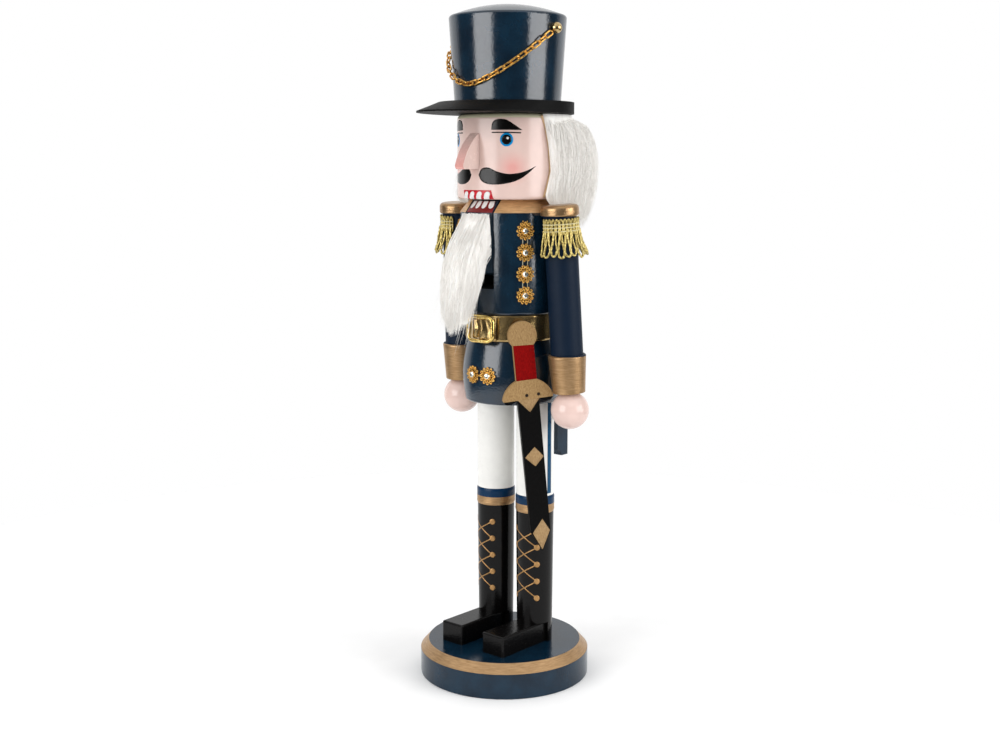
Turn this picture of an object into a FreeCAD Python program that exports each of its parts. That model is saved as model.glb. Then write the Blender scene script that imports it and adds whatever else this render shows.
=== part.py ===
"""Wooden nutcracker figure on a round base: turned pieces, doweled together, with a lever jaw.

Frame: origin at the centre of the base's underside, +Z up, the figure faces -Y, its left is +X.
Lengths are millimetres and angles degrees.
"""
import FreeCAD, Part
import math
import os
import Sketcher

os.makedirs("parts", exist_ok=True)
QUARTER_TURN = 90
FULL_TURN = 4 * QUARTER_TURN
CHAIN_STEP = 0.01
doc = FreeCAD.newDocument("nutcracker")

DIMENSIONS = {
    # stand
    "base_radius": 45, "base_height": 18, "base_bevel_width": 4.3, "base_bevel_height": 4.7,
    # legs and feet
    "leg_spacing": 13.7, "leg_setback": 9, "leg_radius": 9.9, "boot_bottom_radius": 9.4,
    "boot_top": 89, "band_radius": 10.3, "band_top": 98.2, "band_step": 0.1, "band_shoulder": 2,
    "band_round": 3, "notch_reach": 15,
    "foot_spacing": 14.3, "foot_width": 14.5, "foot_height": 10.8, "foot_toe": -26, "foot_heel": 8.8,
    "foot_edge": 1,
    # coat, turned in one with the skirt and the collar
    "torso_setback": 6, "skirt_bottom": 148, "skirt_hem_radius": 24.6, "skirt_edge": 1.5,
    "skirt_widest": 163, "skirt_bulge": 90, "skirt_curve": 70, "chest_lip": 0.8, "chest_curve": 280,
    "skirt_radius": 26, "waist_radius": 23, "waist_bottom": 180.9,
    "waist_top": 194.8, "chest_bottom_radius": 26, "chest_shoulder": 1.2, "chest_radius": 27,
    "chest_widest": 218, "chest_top": 246.3, "neck_radius": 21.5, "neck_top": 253,
    "slot_width": 19, "slot_floor": 208,
    # head
    "head_setback": 4.5, "head_radius": 27.2, "head_top": 295.4, "head_edge": 2.6,
    "nose_width": 5.5, "nose_bottom": 268, "nose_top": 285.8, "nose_reach": -34.4,
    "nose_seat": -19.5, "nose_tip_rise": 1.8, "nose_arc": 31,
    "nose_tip_step": 1, "nose_tip_round": 2.2, "jowl_inset": 1.2, "jowl_round": 1.8,
    # hat
    "hat_setback": 2.5, "brim_bottom": 295.6, "brim_thickness": 5.9, "brim_radius": 34,
    "peak_reach": 57, "peak_bevel_length": 20, "peak_edge": 0.8,
    "crown_bottom_radius": 27.2, "crown_top_radius": 29.9, "crown_rim": 344.6, "crown_top": 350,
    "crown_edge": 1.6,
    # construction
    "overshoot": 150, "edge_break": 0.6, "dimple": 0.05,
    # hat chain
    "stud_angle": 90.5, "stud_height": 336.8, "stud_radius": 2.8, "stud_shank_radius": 0.8,
    "stud_shank_length": 6, "stud_standoff": 1.9,
    "chain_end_angle": 84.3, "chain_drop": 2.2, "chain_sag": 25, "chain_power": 1.6, "chain_ease": 0.2,
    "chain_links": 25,
    "link_length": 6, "link_width": 3.2, "link_roll": 42, "wire_radius": 0.42, "chain_standoff": 1.7,
    # arms: heights run down each arm from the top of its shoulder cap
    "shoulder_spacing": 34.5, "shoulder_setback": 2, "shoulder_height": 250.5,
    "arm_splay": 1.7, "arm_swing": 3.25, "arm_radius": 8.3, "arm_gap": 0.1,
    "cap_radius": 9.8, "cap_edge": 2.2, "cap_length": 5.7, "cuff_top": 75.9, "cuff_bottom": 95.5,
    "cuff_top_radius": 9.7, "cuff_bottom_radius": 8.4, "hand_radius": 9.8, "hand_centre": 105,
    # shoulder fringes
    "fringe_gap": 0.1, "fringe_top": 6.1, "fringe_band_bottom": 13, "fringe_band": 1.7,
    "fringe_bottom": 26.2, "fringe_flare": 12.0, "fringe_sweep": 236,
    # belt
    "belt_gap": 0.1, "belt_bottom": 181.4, "belt_top": 194.4, "belt_bulge": 2.2, "belt_rim": 0.8,
    "belt_crown": 28, "buckle_corner": 2.5, "buckle_blank": 20,
    "buckle_offset": 2.4, "buckle_width": 18, "buckle_height": 14.6, "buckle_bar": 2.6,
    "buckle_depth": 2, "buckle_front": -22.2, "buckle_middle": 187.6,
    # gilt flowers with stones
    "flower_radius": 4.6, "flower_core": 3.2, "flower_thickness": 1.3, "petal_radius": 0.95,
    "stone_radius": 1.5, "stone_height": 1.3, "flower_petals": 12, "flower_dish": 0.7,
    "button_angle": 54.5, "button_top": 237.4, "button_pitch": 10.8, "buttons_in_row": 4,
    "skirt_flower_angle": 10.4, "skirt_flower_middle": 2.3, "skirt_flower_height": 163.4,
    # sword
    "sword_angle": 54, "sword_lean": 5.6, "sword_thickness": 2.8, "sword_distance": 26.15,
    "sword_height": 184.8, "sword_side": -1.4, "pommel_radius": 7.4, "grip_half": 5.4,
    "grip_top": -4.5, "grip_bottom": -23, "guard_half": 12.9, "guard_end": -31,
    "guard_crown_radius": 13, "lobe_half": 11, "lobe_bottom": -34.6, "lobe_end_radius": 2.7,
    "notch_half": 5.7, "notch_height": -32.8, "lobe_radius": 9, "blade_half_top": 5.6,
    "blade_top": -36, "blade_half_bottom": 5.2, "blade_shoulder": -103, "sword_tip": -113.4,
    "nail_radius": 0.6, "nail_length": 8, "nail_head_radius": 0.85, "nail_head": 0.4, "nail_spread": 3.1,
    "nail_side": 2.4, "nail_drop": -30.8,
    # lever and jaw
    "pivot_setback": 8, "pivot_height": 219.5, "pin_radius": 1.5, "pin_clearance": 0.06,
    "pin_length": 44, "lever_width": 17.6, "jaw_front": -21, "jaw_back": 7, "jaw_bottom": 216.5,
    "jaw_top": 252.2, "arm_bottom": 211.5, "arm_top": 226.5, "tail_front": 34.2, "tail_back": 43,
    "tail_bottom": 113, "tail_toe": 3.5, "lever_corner": 3, "jaw_drop": 8, "head_room": 5,
    # beard
    "beard_half_top": 9, "beard_half_middle": 11.5, "beard_half_tip": 4,
    "beard_top": 245.8, "beard_tip": 179.5, "beard_root_back": -21.2, "beard_root_front": -27,
    "beard_upper": 232, "beard_upper_half": 10, "beard_upper_back": -21.4, "beard_upper_front": -33,
    "beard_middle": 216, "beard_middle_back": -24.4, "beard_middle_front": -38.5,
    "beard_lower": 198, "beard_lower_half": 10, "beard_lower_back": -30.6, "beard_lower_front": -41.5,
    "beard_tip_back": -36, "beard_tip_front": -40, "beard_corner": 0.8,
    # hair
    "hair_inner": 27.5, "hair_outer": 35.6, "hair_top": 295.2, "hair_bottom": 253.3,
    "hair_open": 82, "hair_edge": 3, "nape_inner": 29.2, "nape_outer": 36.4, "nape_bottom": 240,
    "nape_sweep": 124, "nape_lap": 4,
    # dowels
    "dowel_radius": 3, "dowel_half": 9, "neck_dowel_spacing": 15.5, "hip_dowel_half": 10,
    "base_dowel_half": 8, "base_dowel_setback": 4.8, "hat_dowel_rise": 3,
    "arm_dowel_height": 232, "arm_dowel_setback": 3, "arm_dowel_radius": 2.5,
    "arm_dowel_half": 7, "hand_dowel_half": 6,
}

sheet = doc.addObject("Spreadsheet::Sheet", "dims")
for row, (alias, value) in enumerate(DIMENSIONS.items(), start=1):
    sheet.set(f"A{row}", alias)
    sheet.set(f"B{row}", str(value))
    sheet.setAlias(f"B{row}", alias)
doc.recompute()


class Size:
    """A length with both its value and the sheet expression that drives it."""

    def __init__(self, text, value):
        self.text = text
        self.value = value

    def __add__(self, other):
        other = as_size(other)
        return Size(f"({self.text} + {other.text})", self.value + other.value)

    def __sub__(self, other):
        other = as_size(other)
        return Size(f"({self.text} - {other.text})", self.value - other.value)

    def __mul__(self, factor):
        factor = as_size(factor)
        return Size(f"({self.text} * {factor.text})", self.value * factor.value)

    def __truediv__(self, other):
        other = as_size(other)
        return Size(f"({self.text} / {other.text})", self.value / other.value)

    def __neg__(self):
        return Size(f"(-1 * {self.text})", -self.value)


def as_size(thing):
    """A Size from a Size, an alias of the sheet or a plain number."""
    if isinstance(thing, Size):
        return thing
    if isinstance(thing, str):
        return Size(f"dims.{thing}", float(DIMENSIONS[thing]))
    return Size(repr(float(thing)), float(thing))


def number(alias):
    """The value of one cell, for the shapes that Part's own functions make."""
    return float(sheet.get(alias))


def bind(thing, **properties):
    """Binds each property to its size; a double underscore stands for a dot in its path."""
    for name, size in properties.items():
        thing.setExpression(name.replace("__", "."), as_size(size).text)


def place(thing, x=0, y=0, z=0):
    """Moves a thing from the origin; a coordinate left at 0 stays free of any expression."""
    for axis, size in zip("xyz", (x, y, z)):
        if isinstance(size, (str, Size)) or size:
            thing.setExpression(f"Placement.Base.{axis}", as_size(size).text)


# ---- sketches and bodies -------------------------------------------------------------------

def origin_plane(body, role):
    return next(feature for feature in body.Origin.OriginFeatures if feature.Role == role)


def new_sketch(body, role):
    sketch = body.newObject("Sketcher::SketchObject", "sketch")
    sketch.AttachmentSupport = (origin_plane(body, role), [""])
    sketch.MapMode = "FlatFace"
    return sketch


def pin_point(sketch, edge, end, across, up):
    """Fixes one end of an edge at a distance from the sketch's origin."""
    for kind, size in (("DistanceX", across), ("DistanceY", up)):
        constraint = sketch.addConstraint(
            Sketcher.Constraint(kind, -1, 1, edge, end, size.value))
        sketch.setExpression(f"Constraints[{constraint}]", size.text)


def bent_edge(start, stop, radius):
    """An arc from start to stop that bulges to the right of the way it runs, or left if negative."""
    chord = stop - start
    side = FreeCAD.Vector(chord.y, -chord.x, 0).normalize()
    size = abs(radius)
    rise = size - math.sqrt(max(size ** 2 - (chord.Length / 2) ** 2, 0))
    middle = (start + stop) * 0.5 + side * math.copysign(rise, radius)
    return Part.Arc(start, middle, stop)


def draw_outline(sketch, corners):
    """Draws a closed outline. A corner is (across, up) or (across, up, radius of the edge to it)."""
    spots = [(as_size(corner[0]), as_size(corner[1])) for corner in corners]
    points = [FreeCAD.Vector(across.value, up.value, 0) for across, up in spots]
    for index, corner in enumerate(corners):
        start, stop = points[index - 1], points[index]
        if len(corner) == 2:
            edge = sketch.addGeometry(Part.LineSegment(start, stop))
        else:
            radius = as_size(corner[2])
            edge = sketch.addGeometry(bent_edge(start, stop, radius.value))
            bend = sketch.addConstraint(Sketcher.Constraint("Radius", edge, abs(radius.value)))
            bound = radius if radius.value > 0 else -radius
            sketch.setExpression(f"Constraints[{bend}]", bound.text)
        starts_first = (sketch.getPoint(edge, 1) - start).Length < 1e-6
        ends = (1, 2) if starts_first else (2, 1)
        pin_point(sketch, edge, ends[0], *spots[index - 1])
        pin_point(sketch, edge, ends[1], *spots[index])


def new_body(label):
    body = doc.addObject("PartDesign::Body", label)
    body.Label = label
    return body


def revolve(body, corners, sweep=360, role="XZ_Plane"):
    """Adds a turned solid about the body's Z axis to the body."""
    sketch = new_sketch(body, role)
    draw_outline(sketch, corners)
    turned = body.newObject("PartDesign::Revolution", "turned")
    turned.Profile = sketch
    turned.ReferenceAxis = (sketch, ["V_Axis"])
    turned.Midplane = True
    bind(turned, Angle=sweep)
    return turned


def pad(body, corners, length, role="YZ_Plane"):
    """Adds an outline, extruded evenly to both sides of its plane, to the body."""
    sketch = new_sketch(body, role)
    draw_outline(sketch, corners)
    block = body.newObject("PartDesign::Pad", "block")
    block.Profile = sketch
    block.SideType = "Symmetric"
    bind(block, Length=length)
    return block


def pocket(body, corners, length, role="YZ_Plane"):
    """Cuts an outline, extruded evenly to both sides of its plane, out of the body."""
    sketch = new_sketch(body, role)
    draw_outline(sketch, corners)
    doc.recompute()
    before = body.Shape.Volume
    cut = body.newObject("PartDesign::Pocket", "cut")
    cut.Profile = sketch
    cut.SideType = "Symmetric"
    bind(cut, Length=length)
    doc.recompute()
    if body.Shape.Volume > before - 1e-3:
        raise ValueError(f"the pocket in {body.Label} cuts nothing")
    return cut


def round_edges(body, feature, radius, chosen):
    """Fillets the edges of a body's feature that chosen says yes to."""
    doc.recompute()
    names = [f"Edge{index}" for index, edge in enumerate(feature.Shape.Edges, start=1) if chosen(edge)]
    fillet = body.newObject("PartDesign::Fillet", "rounding")
    fillet.Base = (feature, names)
    bind(fillet, Radius=radius)
    return fillet


def turned_piece(label, corners, x=0, y=0, z=0):
    body = new_body(label)
    revolve(body, corners)
    place(body, x, y, z)
    return body


def cylinder(label, radius, height, x=0, y=0, z=0):
    rod = doc.addObject("Part::Cylinder", label)
    bind(rod, Radius=radius, Height=height)
    place(rod, x, y, z)
    return rod


def cross_rod(label, radius, half_length, x=0, y=0, z=0):
    """A rod along X, centred on its place."""
    rod = cylinder(label, radius, as_size(half_length) * 2)
    rod.Placement.Rotation = FreeCAD.Rotation(FreeCAD.Vector(0, 1, 0), QUARTER_TURN)
    place(rod, as_size(x) - half_length, y, z)
    return rod


def box(label, x, y, z):
    """A box from three (low, high) pairs."""
    block = doc.addObject("Part::Box", label)
    spans = [as_size(high) - low for low, high in (x, y, z)]
    bind(block, Length=spans[0], Width=spans[1], Height=spans[2])
    place(block, x[0], y[0], z[0])
    return block


def fused(label, pieces):
    joined = doc.addObject("Part::MultiFuse", label)
    joined.Shapes = pieces
    return joined


def group(label, pieces):
    """One node that holds several separate solids."""
    several = doc.addObject("Part::Compound", label)
    several.Links = pieces
    return several


def cut_from(label, piece, tool):
    cut = doc.addObject("Part::Cut", label)
    cut.Base = piece
    cut.Tool = tool
    return cut


def both_sides(make):
    """Calls make(name, sign) for the figure's left, at +X, and its right."""
    return {name: make(name, sign) for name, sign in (("left", 1), ("right", -1))}


nodes = {}

# ---- dowels and the pivot pin ----------------------------------------------------------------

def upright_dowel(label, middle, half, x, y):
    return cylinder(label, "dowel_radius", as_size(half) * 2, x, y, as_size(middle) - half)


def shoulder(sign):
    """Where an arm hangs: its own Z runs up the arm and its X away from the coat."""
    up = FreeCAD.Vector(-sign * math.tan(math.radians(number("arm_splay"))),
                        -math.tan(math.radians(number("arm_swing"))), 1).normalize()
    out = FreeCAD.Vector(sign, 0, 0)
    top = FreeCAD.Vector(sign * number("shoulder_spacing"), number("shoulder_setback"),
                         number("shoulder_height"))
    return FreeCAD.Placement(top, FreeCAD.Rotation(out, FreeCAD.Vector(0, 0, 0), up, "ZXY"))


def make_hand_dowel(name, sign):
    rod = cylinder(f"hand_dowel_{name}", "dowel_radius", as_size("hand_dowel_half") * 2)
    low = number("cuff_bottom") + number("hand_dowel_half")
    rod.Placement = shoulder(sign).multiply(
        FreeCAD.Placement(FreeCAD.Vector(0, 0, -low), FreeCAD.Rotation()))
    return rod


nodes["base_dowels"] = group("base_dowels", list(both_sides(
    lambda name, sign: upright_dowel(
        f"base_dowel_{name}", "base_height", "base_dowel_half",
        as_size("leg_spacing") * sign, as_size("leg_setback") + "base_dowel_setback")).values()))
nodes["hip_dowels"] = group("hip_dowels", list(both_sides(
    lambda name, sign: upright_dowel(
        f"hip_dowel_{name}", "skirt_bottom", "hip_dowel_half",
        as_size("leg_spacing") * sign, "leg_setback")).values()))
nodes["neck_dowels"] = group("neck_dowels", list(both_sides(
    lambda name, sign: upright_dowel(
        f"neck_dowel_{name}", "neck_top", "dowel_half",
        as_size("neck_dowel_spacing") * sign, "torso_setback")).values()))
nodes["hat_dowel"] = upright_dowel(
    "hat_dowel", as_size("brim_bottom") + "hat_dowel_rise",
    as_size("dowel_half") + "hat_dowel_rise", 0, "hat_setback")
nodes["arm_dowels"] = group("arm_dowels", list(both_sides(
    lambda name, sign: cross_rod(
        f"arm_dowel_{name}", "arm_dowel_radius", "arm_dowel_half",
        as_size("chest_radius") * sign, "arm_dowel_setback", "arm_dowel_height")).values()))
nodes["hand_dowels"] = group("hand_dowels", list(both_sides(make_hand_dowel).values()))
nodes["pivot_pin"] = cross_rod(
    "pivot_pin", "pin_radius", as_size("pin_length") * 0.5, 0, "pivot_setback", "pivot_height")

# ---- stand, legs and feet ----------------------------------------------------------------------

base_shoulder = as_size("base_height") - "base_bevel_height"
base_turned = turned_piece("base_turned", [
    (0, 0),
    (as_size("base_radius") - "edge_break", 0),
    ("base_radius", "edge_break", "edge_break"),
    ("base_radius", base_shoulder),
    (as_size("base_radius") - "base_bevel_width", "base_height"),
    (0, "base_height"),
])
nodes["base"] = cut_from("base", base_turned, nodes["base_dowels"])

leg_tools = fused("leg_tools", [nodes["base_dowels"], nodes["hip_dowels"]])


def make_leg(name, sign):
    leg = turned_piece(f"{name}_leg_turned", [
        (0, "base_height"),
        ("boot_bottom_radius", "base_height"),
        (as_size("leg_radius") + "band_step", "boot_top"),
        ("band_radius", as_size("boot_top") + "band_shoulder", "band_round"),
        ("band_radius", as_size("band_top") - "band_shoulder"),
        ("leg_radius", "band_top", "band_round"),
        ("leg_radius", "skirt_bottom"),
        (0, "skirt_bottom"),
    ], as_size("leg_spacing") * sign, "leg_setback")
    notch = box(f"{name}_leg_notch", (as_size("leg_spacing") * sign - "notch_reach",
                                     as_size("leg_spacing") * sign + "notch_reach"),
                ("foot_toe", "foot_heel"),
                (as_size("base_height") - 1, as_size("base_height") + "foot_height"))
    tools = fused(f"{name}_leg_cuts", [leg_tools, notch])
    return cut_from(f"{name}_leg", leg, tools)


def make_foot(name, sign):
    middle = as_size("foot_spacing") * sign
    half = as_size("foot_width") * 0.5
    body = new_body(f"{name}_foot")
    low = as_size("base_height")
    high = low + "foot_height"
    block = pad(body, [
        ("foot_toe", low), ("foot_heel", low), ("foot_heel", high), ("foot_toe", high),
    ], half * 2)
    round_edges(body, block, "foot_edge",
                lambda edge: edge.BoundBox.ZMin > low.value + 1 or
                (edge.BoundBox.YMax < number("foot_toe") + 1 and edge.BoundBox.ZLength > 1))
    place(body, middle)
    return body


for name, leg in both_sides(make_leg).items():
    nodes[f"{name}_leg"] = leg
for name, foot in both_sides(make_foot).items():
    nodes[f"{name}_foot"] = foot

# ---- torso ---------------------------------------------------------------------------------------

torso_body = turned_piece("torso_turned", [
    (0, "skirt_bottom"),
    (as_size("skirt_hem_radius") - "skirt_edge", "skirt_bottom"),
    ("skirt_hem_radius", as_size("skirt_bottom") + "skirt_edge", "skirt_edge"),
    ("skirt_radius", "skirt_widest", "skirt_bulge"),
    ("waist_radius", "waist_bottom", "skirt_curve"),
    ("waist_radius", "waist_top"),
    (as_size("chest_bottom_radius") - "chest_lip", "waist_top"),
    ("chest_bottom_radius", as_size("waist_top") + "chest_shoulder", "chest_shoulder"),
    ("chest_radius", "chest_widest", "chest_curve"),
    ("chest_radius", "chest_top"),
    ("neck_radius", "neck_top"),
    (0, "neck_top"),
], 0, "torso_setback")
jaw_slot = box("jaw_slot", (as_size("slot_width") * -0.5, as_size("slot_width") * 0.5),
               (-as_size("overshoot"), "overshoot"), ("slot_floor", as_size("neck_top") + "head_room"))
torso_tools = fused("torso_tools", [
    jaw_slot, nodes["hip_dowels"], nodes["neck_dowels"], nodes["arm_dowels"], nodes["pivot_pin"],
])
torso_bored = cut_from("torso_bored", torso_body, torso_tools)

# ---- head and nose -------------------------------------------------------------------------------

head_shoulder = as_size("head_radius") - "head_edge"
head_turned = turned_piece("head_turned", [
    (0, "neck_top"),
    (as_size("head_radius") - "jowl_inset", "neck_top"),
    ("head_radius", as_size("neck_top") + "jowl_round", "jowl_round"),
    ("head_radius", as_size("head_top") - "head_edge"),
    (head_shoulder, "head_top", "head_edge"),
    (0, "head_top"),
], 0, "head_setback")
nose_socket = box("nose_socket", (as_size("nose_width") * -0.5, as_size("nose_width") * 0.5),
                  (-as_size("overshoot"), "nose_seat"), ("nose_bottom", "nose_top"))
head_tools = fused("head_tools", [nose_socket, nodes["neck_dowels"], nodes["hat_dowel"]])
nodes["head"] = cut_from("head", head_turned, head_tools)

nose = new_body("nose")
pad(nose, [
    ("nose_seat", "nose_bottom"),
    ("nose_seat", "nose_top"),
    (as_size("head_setback") - "head_radius", "nose_top"),
    ("nose_reach", as_size("nose_bottom") + "nose_tip_rise", "nose_arc"),
    (as_size("nose_reach") + "nose_tip_step", "nose_bottom", "nose_tip_round"),
], "nose_width")
nodes["nose"] = nose

# ---- hat -----------------------------------------------------------------------------------------

brim_disc = cylinder("brim_disc", "brim_radius", "brim_thickness", 0, "hat_setback", "brim_bottom")
brim_top = as_size("brim_bottom") + "brim_thickness"
peak_level = as_size("brim_bottom") + "peak_edge"


def half_oval(label, reach, height):
    """An oval as wide as the brim, lying flat, its long axis towards the front."""
    oval = doc.addObject("Part::Ellipse", label)
    bind(oval, MajorRadius=reach, MinorRadius="brim_radius")
    oval.Placement.Rotation = FreeCAD.Rotation(FreeCAD.Vector(0, 0, 1), QUARTER_TURN)
    place(oval, 0, "hat_setback", height)
    return oval


peak_sheet = doc.addObject("Part::Extrusion", "peak_sheet")
peak_sheet.Base = half_oval("peak_outline", "peak_reach", "brim_bottom")
peak_sheet.Dir = FreeCAD.Vector(0, 0, 1)
peak_sheet.Solid = True
bind(peak_sheet, LengthFwd="peak_edge")
peak_slope = doc.addObject("Part::Loft", "peak_slope")
peak_slope.Sections = [
    half_oval("peak_slope_foot", "peak_reach", peak_level),
    half_oval("peak_slope_crest", as_size("peak_reach") - "peak_bevel_length", brim_top),
]
peak_slope.Solid = True
peak_slope.Ruled = True
rear_half = box("rear_half", (-as_size("overshoot"), "overshoot"), ("hat_setback", "overshoot"),
                (as_size("brim_bottom") - "head_room", brim_top + "head_room"))
peak = cut_from("peak", fused("peak_blank", [peak_sheet, peak_slope]), rear_half)
brim_blank = fused("brim_blank", [brim_disc, peak])
nodes["hat_brim"] = cut_from("hat_brim", brim_blank, nodes["hat_dowel"])

dome_half = as_size("crown_top_radius") - "crown_edge"
dome_rise = as_size("crown_top") - "crown_rim"
dome_radius = (dome_half * dome_half + dome_rise * dome_rise) / (dome_rise * 2)
crown_turned = turned_piece("crown_turned", [
    (0, brim_top),
    ("crown_bottom_radius", brim_top),
    (as_size("crown_top_radius"), as_size("crown_rim") - "crown_edge"),
    (dome_half, "crown_rim", "crown_edge"),
    (0, "crown_top", dome_radius),
], 0, "hat_setback")


def crown_radius(height):
    """The crown's radius at a height, up its straight side."""
    low = number("brim_bottom") + number("brim_thickness")
    share = (height - low) / (number("crown_rim") - number("crown_edge") - low)
    wide = number("crown_top_radius") - number("crown_bottom_radius")
    return number("crown_bottom_radius") + share * wide


def around(axis_y, radius, angle, height):
    """A point about an upright axis; the angle runs from the front, -Y, towards +X."""
    turn = math.radians(angle)
    return FreeCAD.Vector(radius * math.sin(turn), axis_y - radius * math.cos(turn), height)


def outward(angle):
    """Turns +Z to point away from an upright axis, with +Y still up the axis."""
    turn = math.radians(angle)
    away = FreeCAD.Vector(math.sin(turn), -math.cos(turn), 0)
    across = FreeCAD.Vector(math.cos(turn), math.sin(turn), 0)
    return FreeCAD.Rotation(across, FreeCAD.Vector(0, 0, 1), away, "ZXY")


def make_stud(name, sign):
    radius = crown_radius(number("stud_height")) + number("stud_standoff")
    angle = sign * number("stud_angle")
    ball = doc.addObject("Part::Sphere", f"stud_ball_{name}")
    bind(ball, Radius="stud_radius")
    ball.Placement.Base = around(number("hat_setback"), radius, angle, number("stud_height"))
    shank = doc.addObject("Part::Cylinder", f"stud_shank_{name}")
    bind(shank, Radius="stud_shank_radius", Height="stud_shank_length")
    inner = radius - number("stud_shank_length")
    shank.Placement = FreeCAD.Placement(
        around(number("hat_setback"), inner, angle, number("stud_height")), outward(angle))
    return fused(f"stud_{name}", [ball, shank])


studs = list(both_sides(make_stud).values())
nodes["chain_studs"] = group("chain_studs", studs)
crown_tools = fused("crown_tools", studs + [nodes["hat_dowel"]])
nodes["hat_crown"] = cut_from("hat_crown", crown_turned, crown_tools)


def chain_link():
    """A round-wire link: two half rings joined by two rods, long along X, flat in XY."""
    wire = number("wire_radius")
    bend = number("link_width") / 2 - wire
    reach = number("link_length") / 2 - number("link_width") / 2
    pieces = []
    for side in (1, -1):
        ring = Part.makeTorus(bend, wire, FreeCAD.Vector(0, 0, 0), FreeCAD.Vector(0, 0, 1), 0,
                              FULL_TURN, FULL_TURN / 2)
        ring.rotate(FreeCAD.Vector(0, 0, 0), FreeCAD.Vector(0, 0, 1), -QUARTER_TURN * side)
        ring.translate(FreeCAD.Vector(side * reach, 0, 0))
        foot = FreeCAD.Vector(-reach, side * bend, 0)
        rod = Part.makeCylinder(wire, 2 * reach, foot, FreeCAD.Vector(1, 0, 0))
        pieces += [ring, rod]
    return pieces[0].multiFuse(pieces[1:])


def chain_point(share):
    """A point of the chain's middle line, from beside the right stud at 0 to beside the left at 1."""
    across = 2 * share - 1
    angle = across * number("chain_end_angle")
    ease = number("chain_ease")
    wave = (1 - math.cos(math.pi * across)) / 2
    rise = (1 - ease) * abs(across) ** number("chain_power") + ease * wave
    fall = number("chain_sag") * (1 - rise)
    height = number("stud_height") - number("chain_drop") - fall
    radius = crown_radius(height) + number("chain_standoff")
    return around(number("hat_setback"), radius, angle, height)


def chain_shape():
    """The links, each laid along the middle line, rolled to one side and the other by turns."""
    count = int(number("chain_links"))
    link = chain_link()
    links = []
    for index in range(count):
        share = (index + 0.5) / count
        here = chain_point(share)
        along = (chain_point(share + CHAIN_STEP) - chain_point(share - CHAIN_STEP)).normalize()
        away = FreeCAD.Vector(here.x, here.y - number("hat_setback"), 0).normalize()
        turn = FreeCAD.Rotation(along, FreeCAD.Vector(0, 0, 0), away, "XZY")
        roll = FreeCAD.Rotation(FreeCAD.Vector(1, 0, 0), number("link_roll") * (-1) ** (index + 1))
        laid = link.copy()
        laid.Placement = FreeCAD.Placement(here, turn * roll)
        links.append(laid)
    return Part.makeCompound(links)


hat_chain = doc.addObject("Part::Feature", "hat_chain")
hat_chain.Shape = chain_shape()
nodes["hat_chain"] = hat_chain

# ---- arms, hands and fringes -----------------------------------------------------------------------

arm_seat = cylinder("arm_seat", as_size("chest_radius") + "arm_gap",
                    as_size("neck_top") - "waist_top", 0, "torso_setback", "waist_top")
arm_tools = fused("arm_tools", [arm_seat, nodes["arm_dowels"], nodes["hand_dowels"]])


def make_arm(name, sign):
    cap_corner = as_size("cap_radius") - "cap_edge"
    arm = turned_piece(f"{name}_arm_turned", [
        (0, -as_size("cuff_bottom")),
        ("cuff_bottom_radius", -as_size("cuff_bottom")),
        ("cuff_top_radius", -as_size("cuff_top") - 1),
        (as_size("cuff_top_radius") - 1, -as_size("cuff_top"), 1),
        ("arm_radius", -as_size("cuff_top")),
        ("arm_radius", -as_size("cap_length")),
        (as_size("cap_radius") - 1, -as_size("cap_length")),
        ("cap_radius", -as_size("cap_length") + 1, 1),
        ("cap_radius", -as_size("cap_edge")),
        (cap_corner, 0, "cap_edge"),
        (0, 0),
    ])
    arm.Placement = shoulder(sign)
    return cut_from(f"{name}_arm", arm, arm_tools)


def make_hand(name, sign):
    rise = number("hand_centre") - number("cuff_bottom")
    flat = math.sqrt(number("hand_radius") ** 2 - rise ** 2)
    hand = turned_piece(f"{name}_hand_turned", [
        (0, -as_size("hand_centre") - "hand_radius"),
        ("hand_radius", -as_size("hand_centre"), "hand_radius"),
        (flat, -as_size("cuff_bottom"), "hand_radius"),
        (0, -as_size("cuff_bottom")),
    ])
    hand.Placement = shoulder(sign)
    return cut_from(f"{name}_hand", hand, nodes["hand_dowels"])


def make_fringe(name, sign):
    """The loops' outer shape, open on the side next to the coat."""
    inner = as_size("arm_radius") + "fringe_gap"
    body = new_body(f"{name}_fringe")
    revolve(body, [
        (inner, -as_size("fringe_top")),
        (inner, -as_size("fringe_band_bottom")),
        (as_size("fringe_flare") - "fringe_band", -as_size("fringe_bottom")),
        ("fringe_flare", -as_size("fringe_bottom")),
        (inner + "fringe_band", -as_size("fringe_band_bottom")),
        (inner + "fringe_band", -as_size("fringe_top")),
    ], "fringe_sweep")
    body.Placement = shoulder(sign)
    return body


for maker, kind in ((make_arm, "arm"), (make_hand, "hand"), (make_fringe, "fringe")):
    for name, piece in both_sides(maker).items():
        nodes[f"{name}_{kind}"] = piece

# ---- belt and buckle ---------------------------------------------------------------------------------

belt_inner = as_size("waist_radius") + "belt_gap"
belt_outer = belt_inner + "belt_bulge"
nodes["belt"] = turned_piece("belt", [
    (belt_inner, "belt_bottom"),
    (belt_outer - "belt_rim", "belt_bottom"),
    (belt_outer - "belt_rim", "belt_top", "belt_crown"),
    (belt_inner, "belt_top"),
], 0, "torso_setback")

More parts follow.
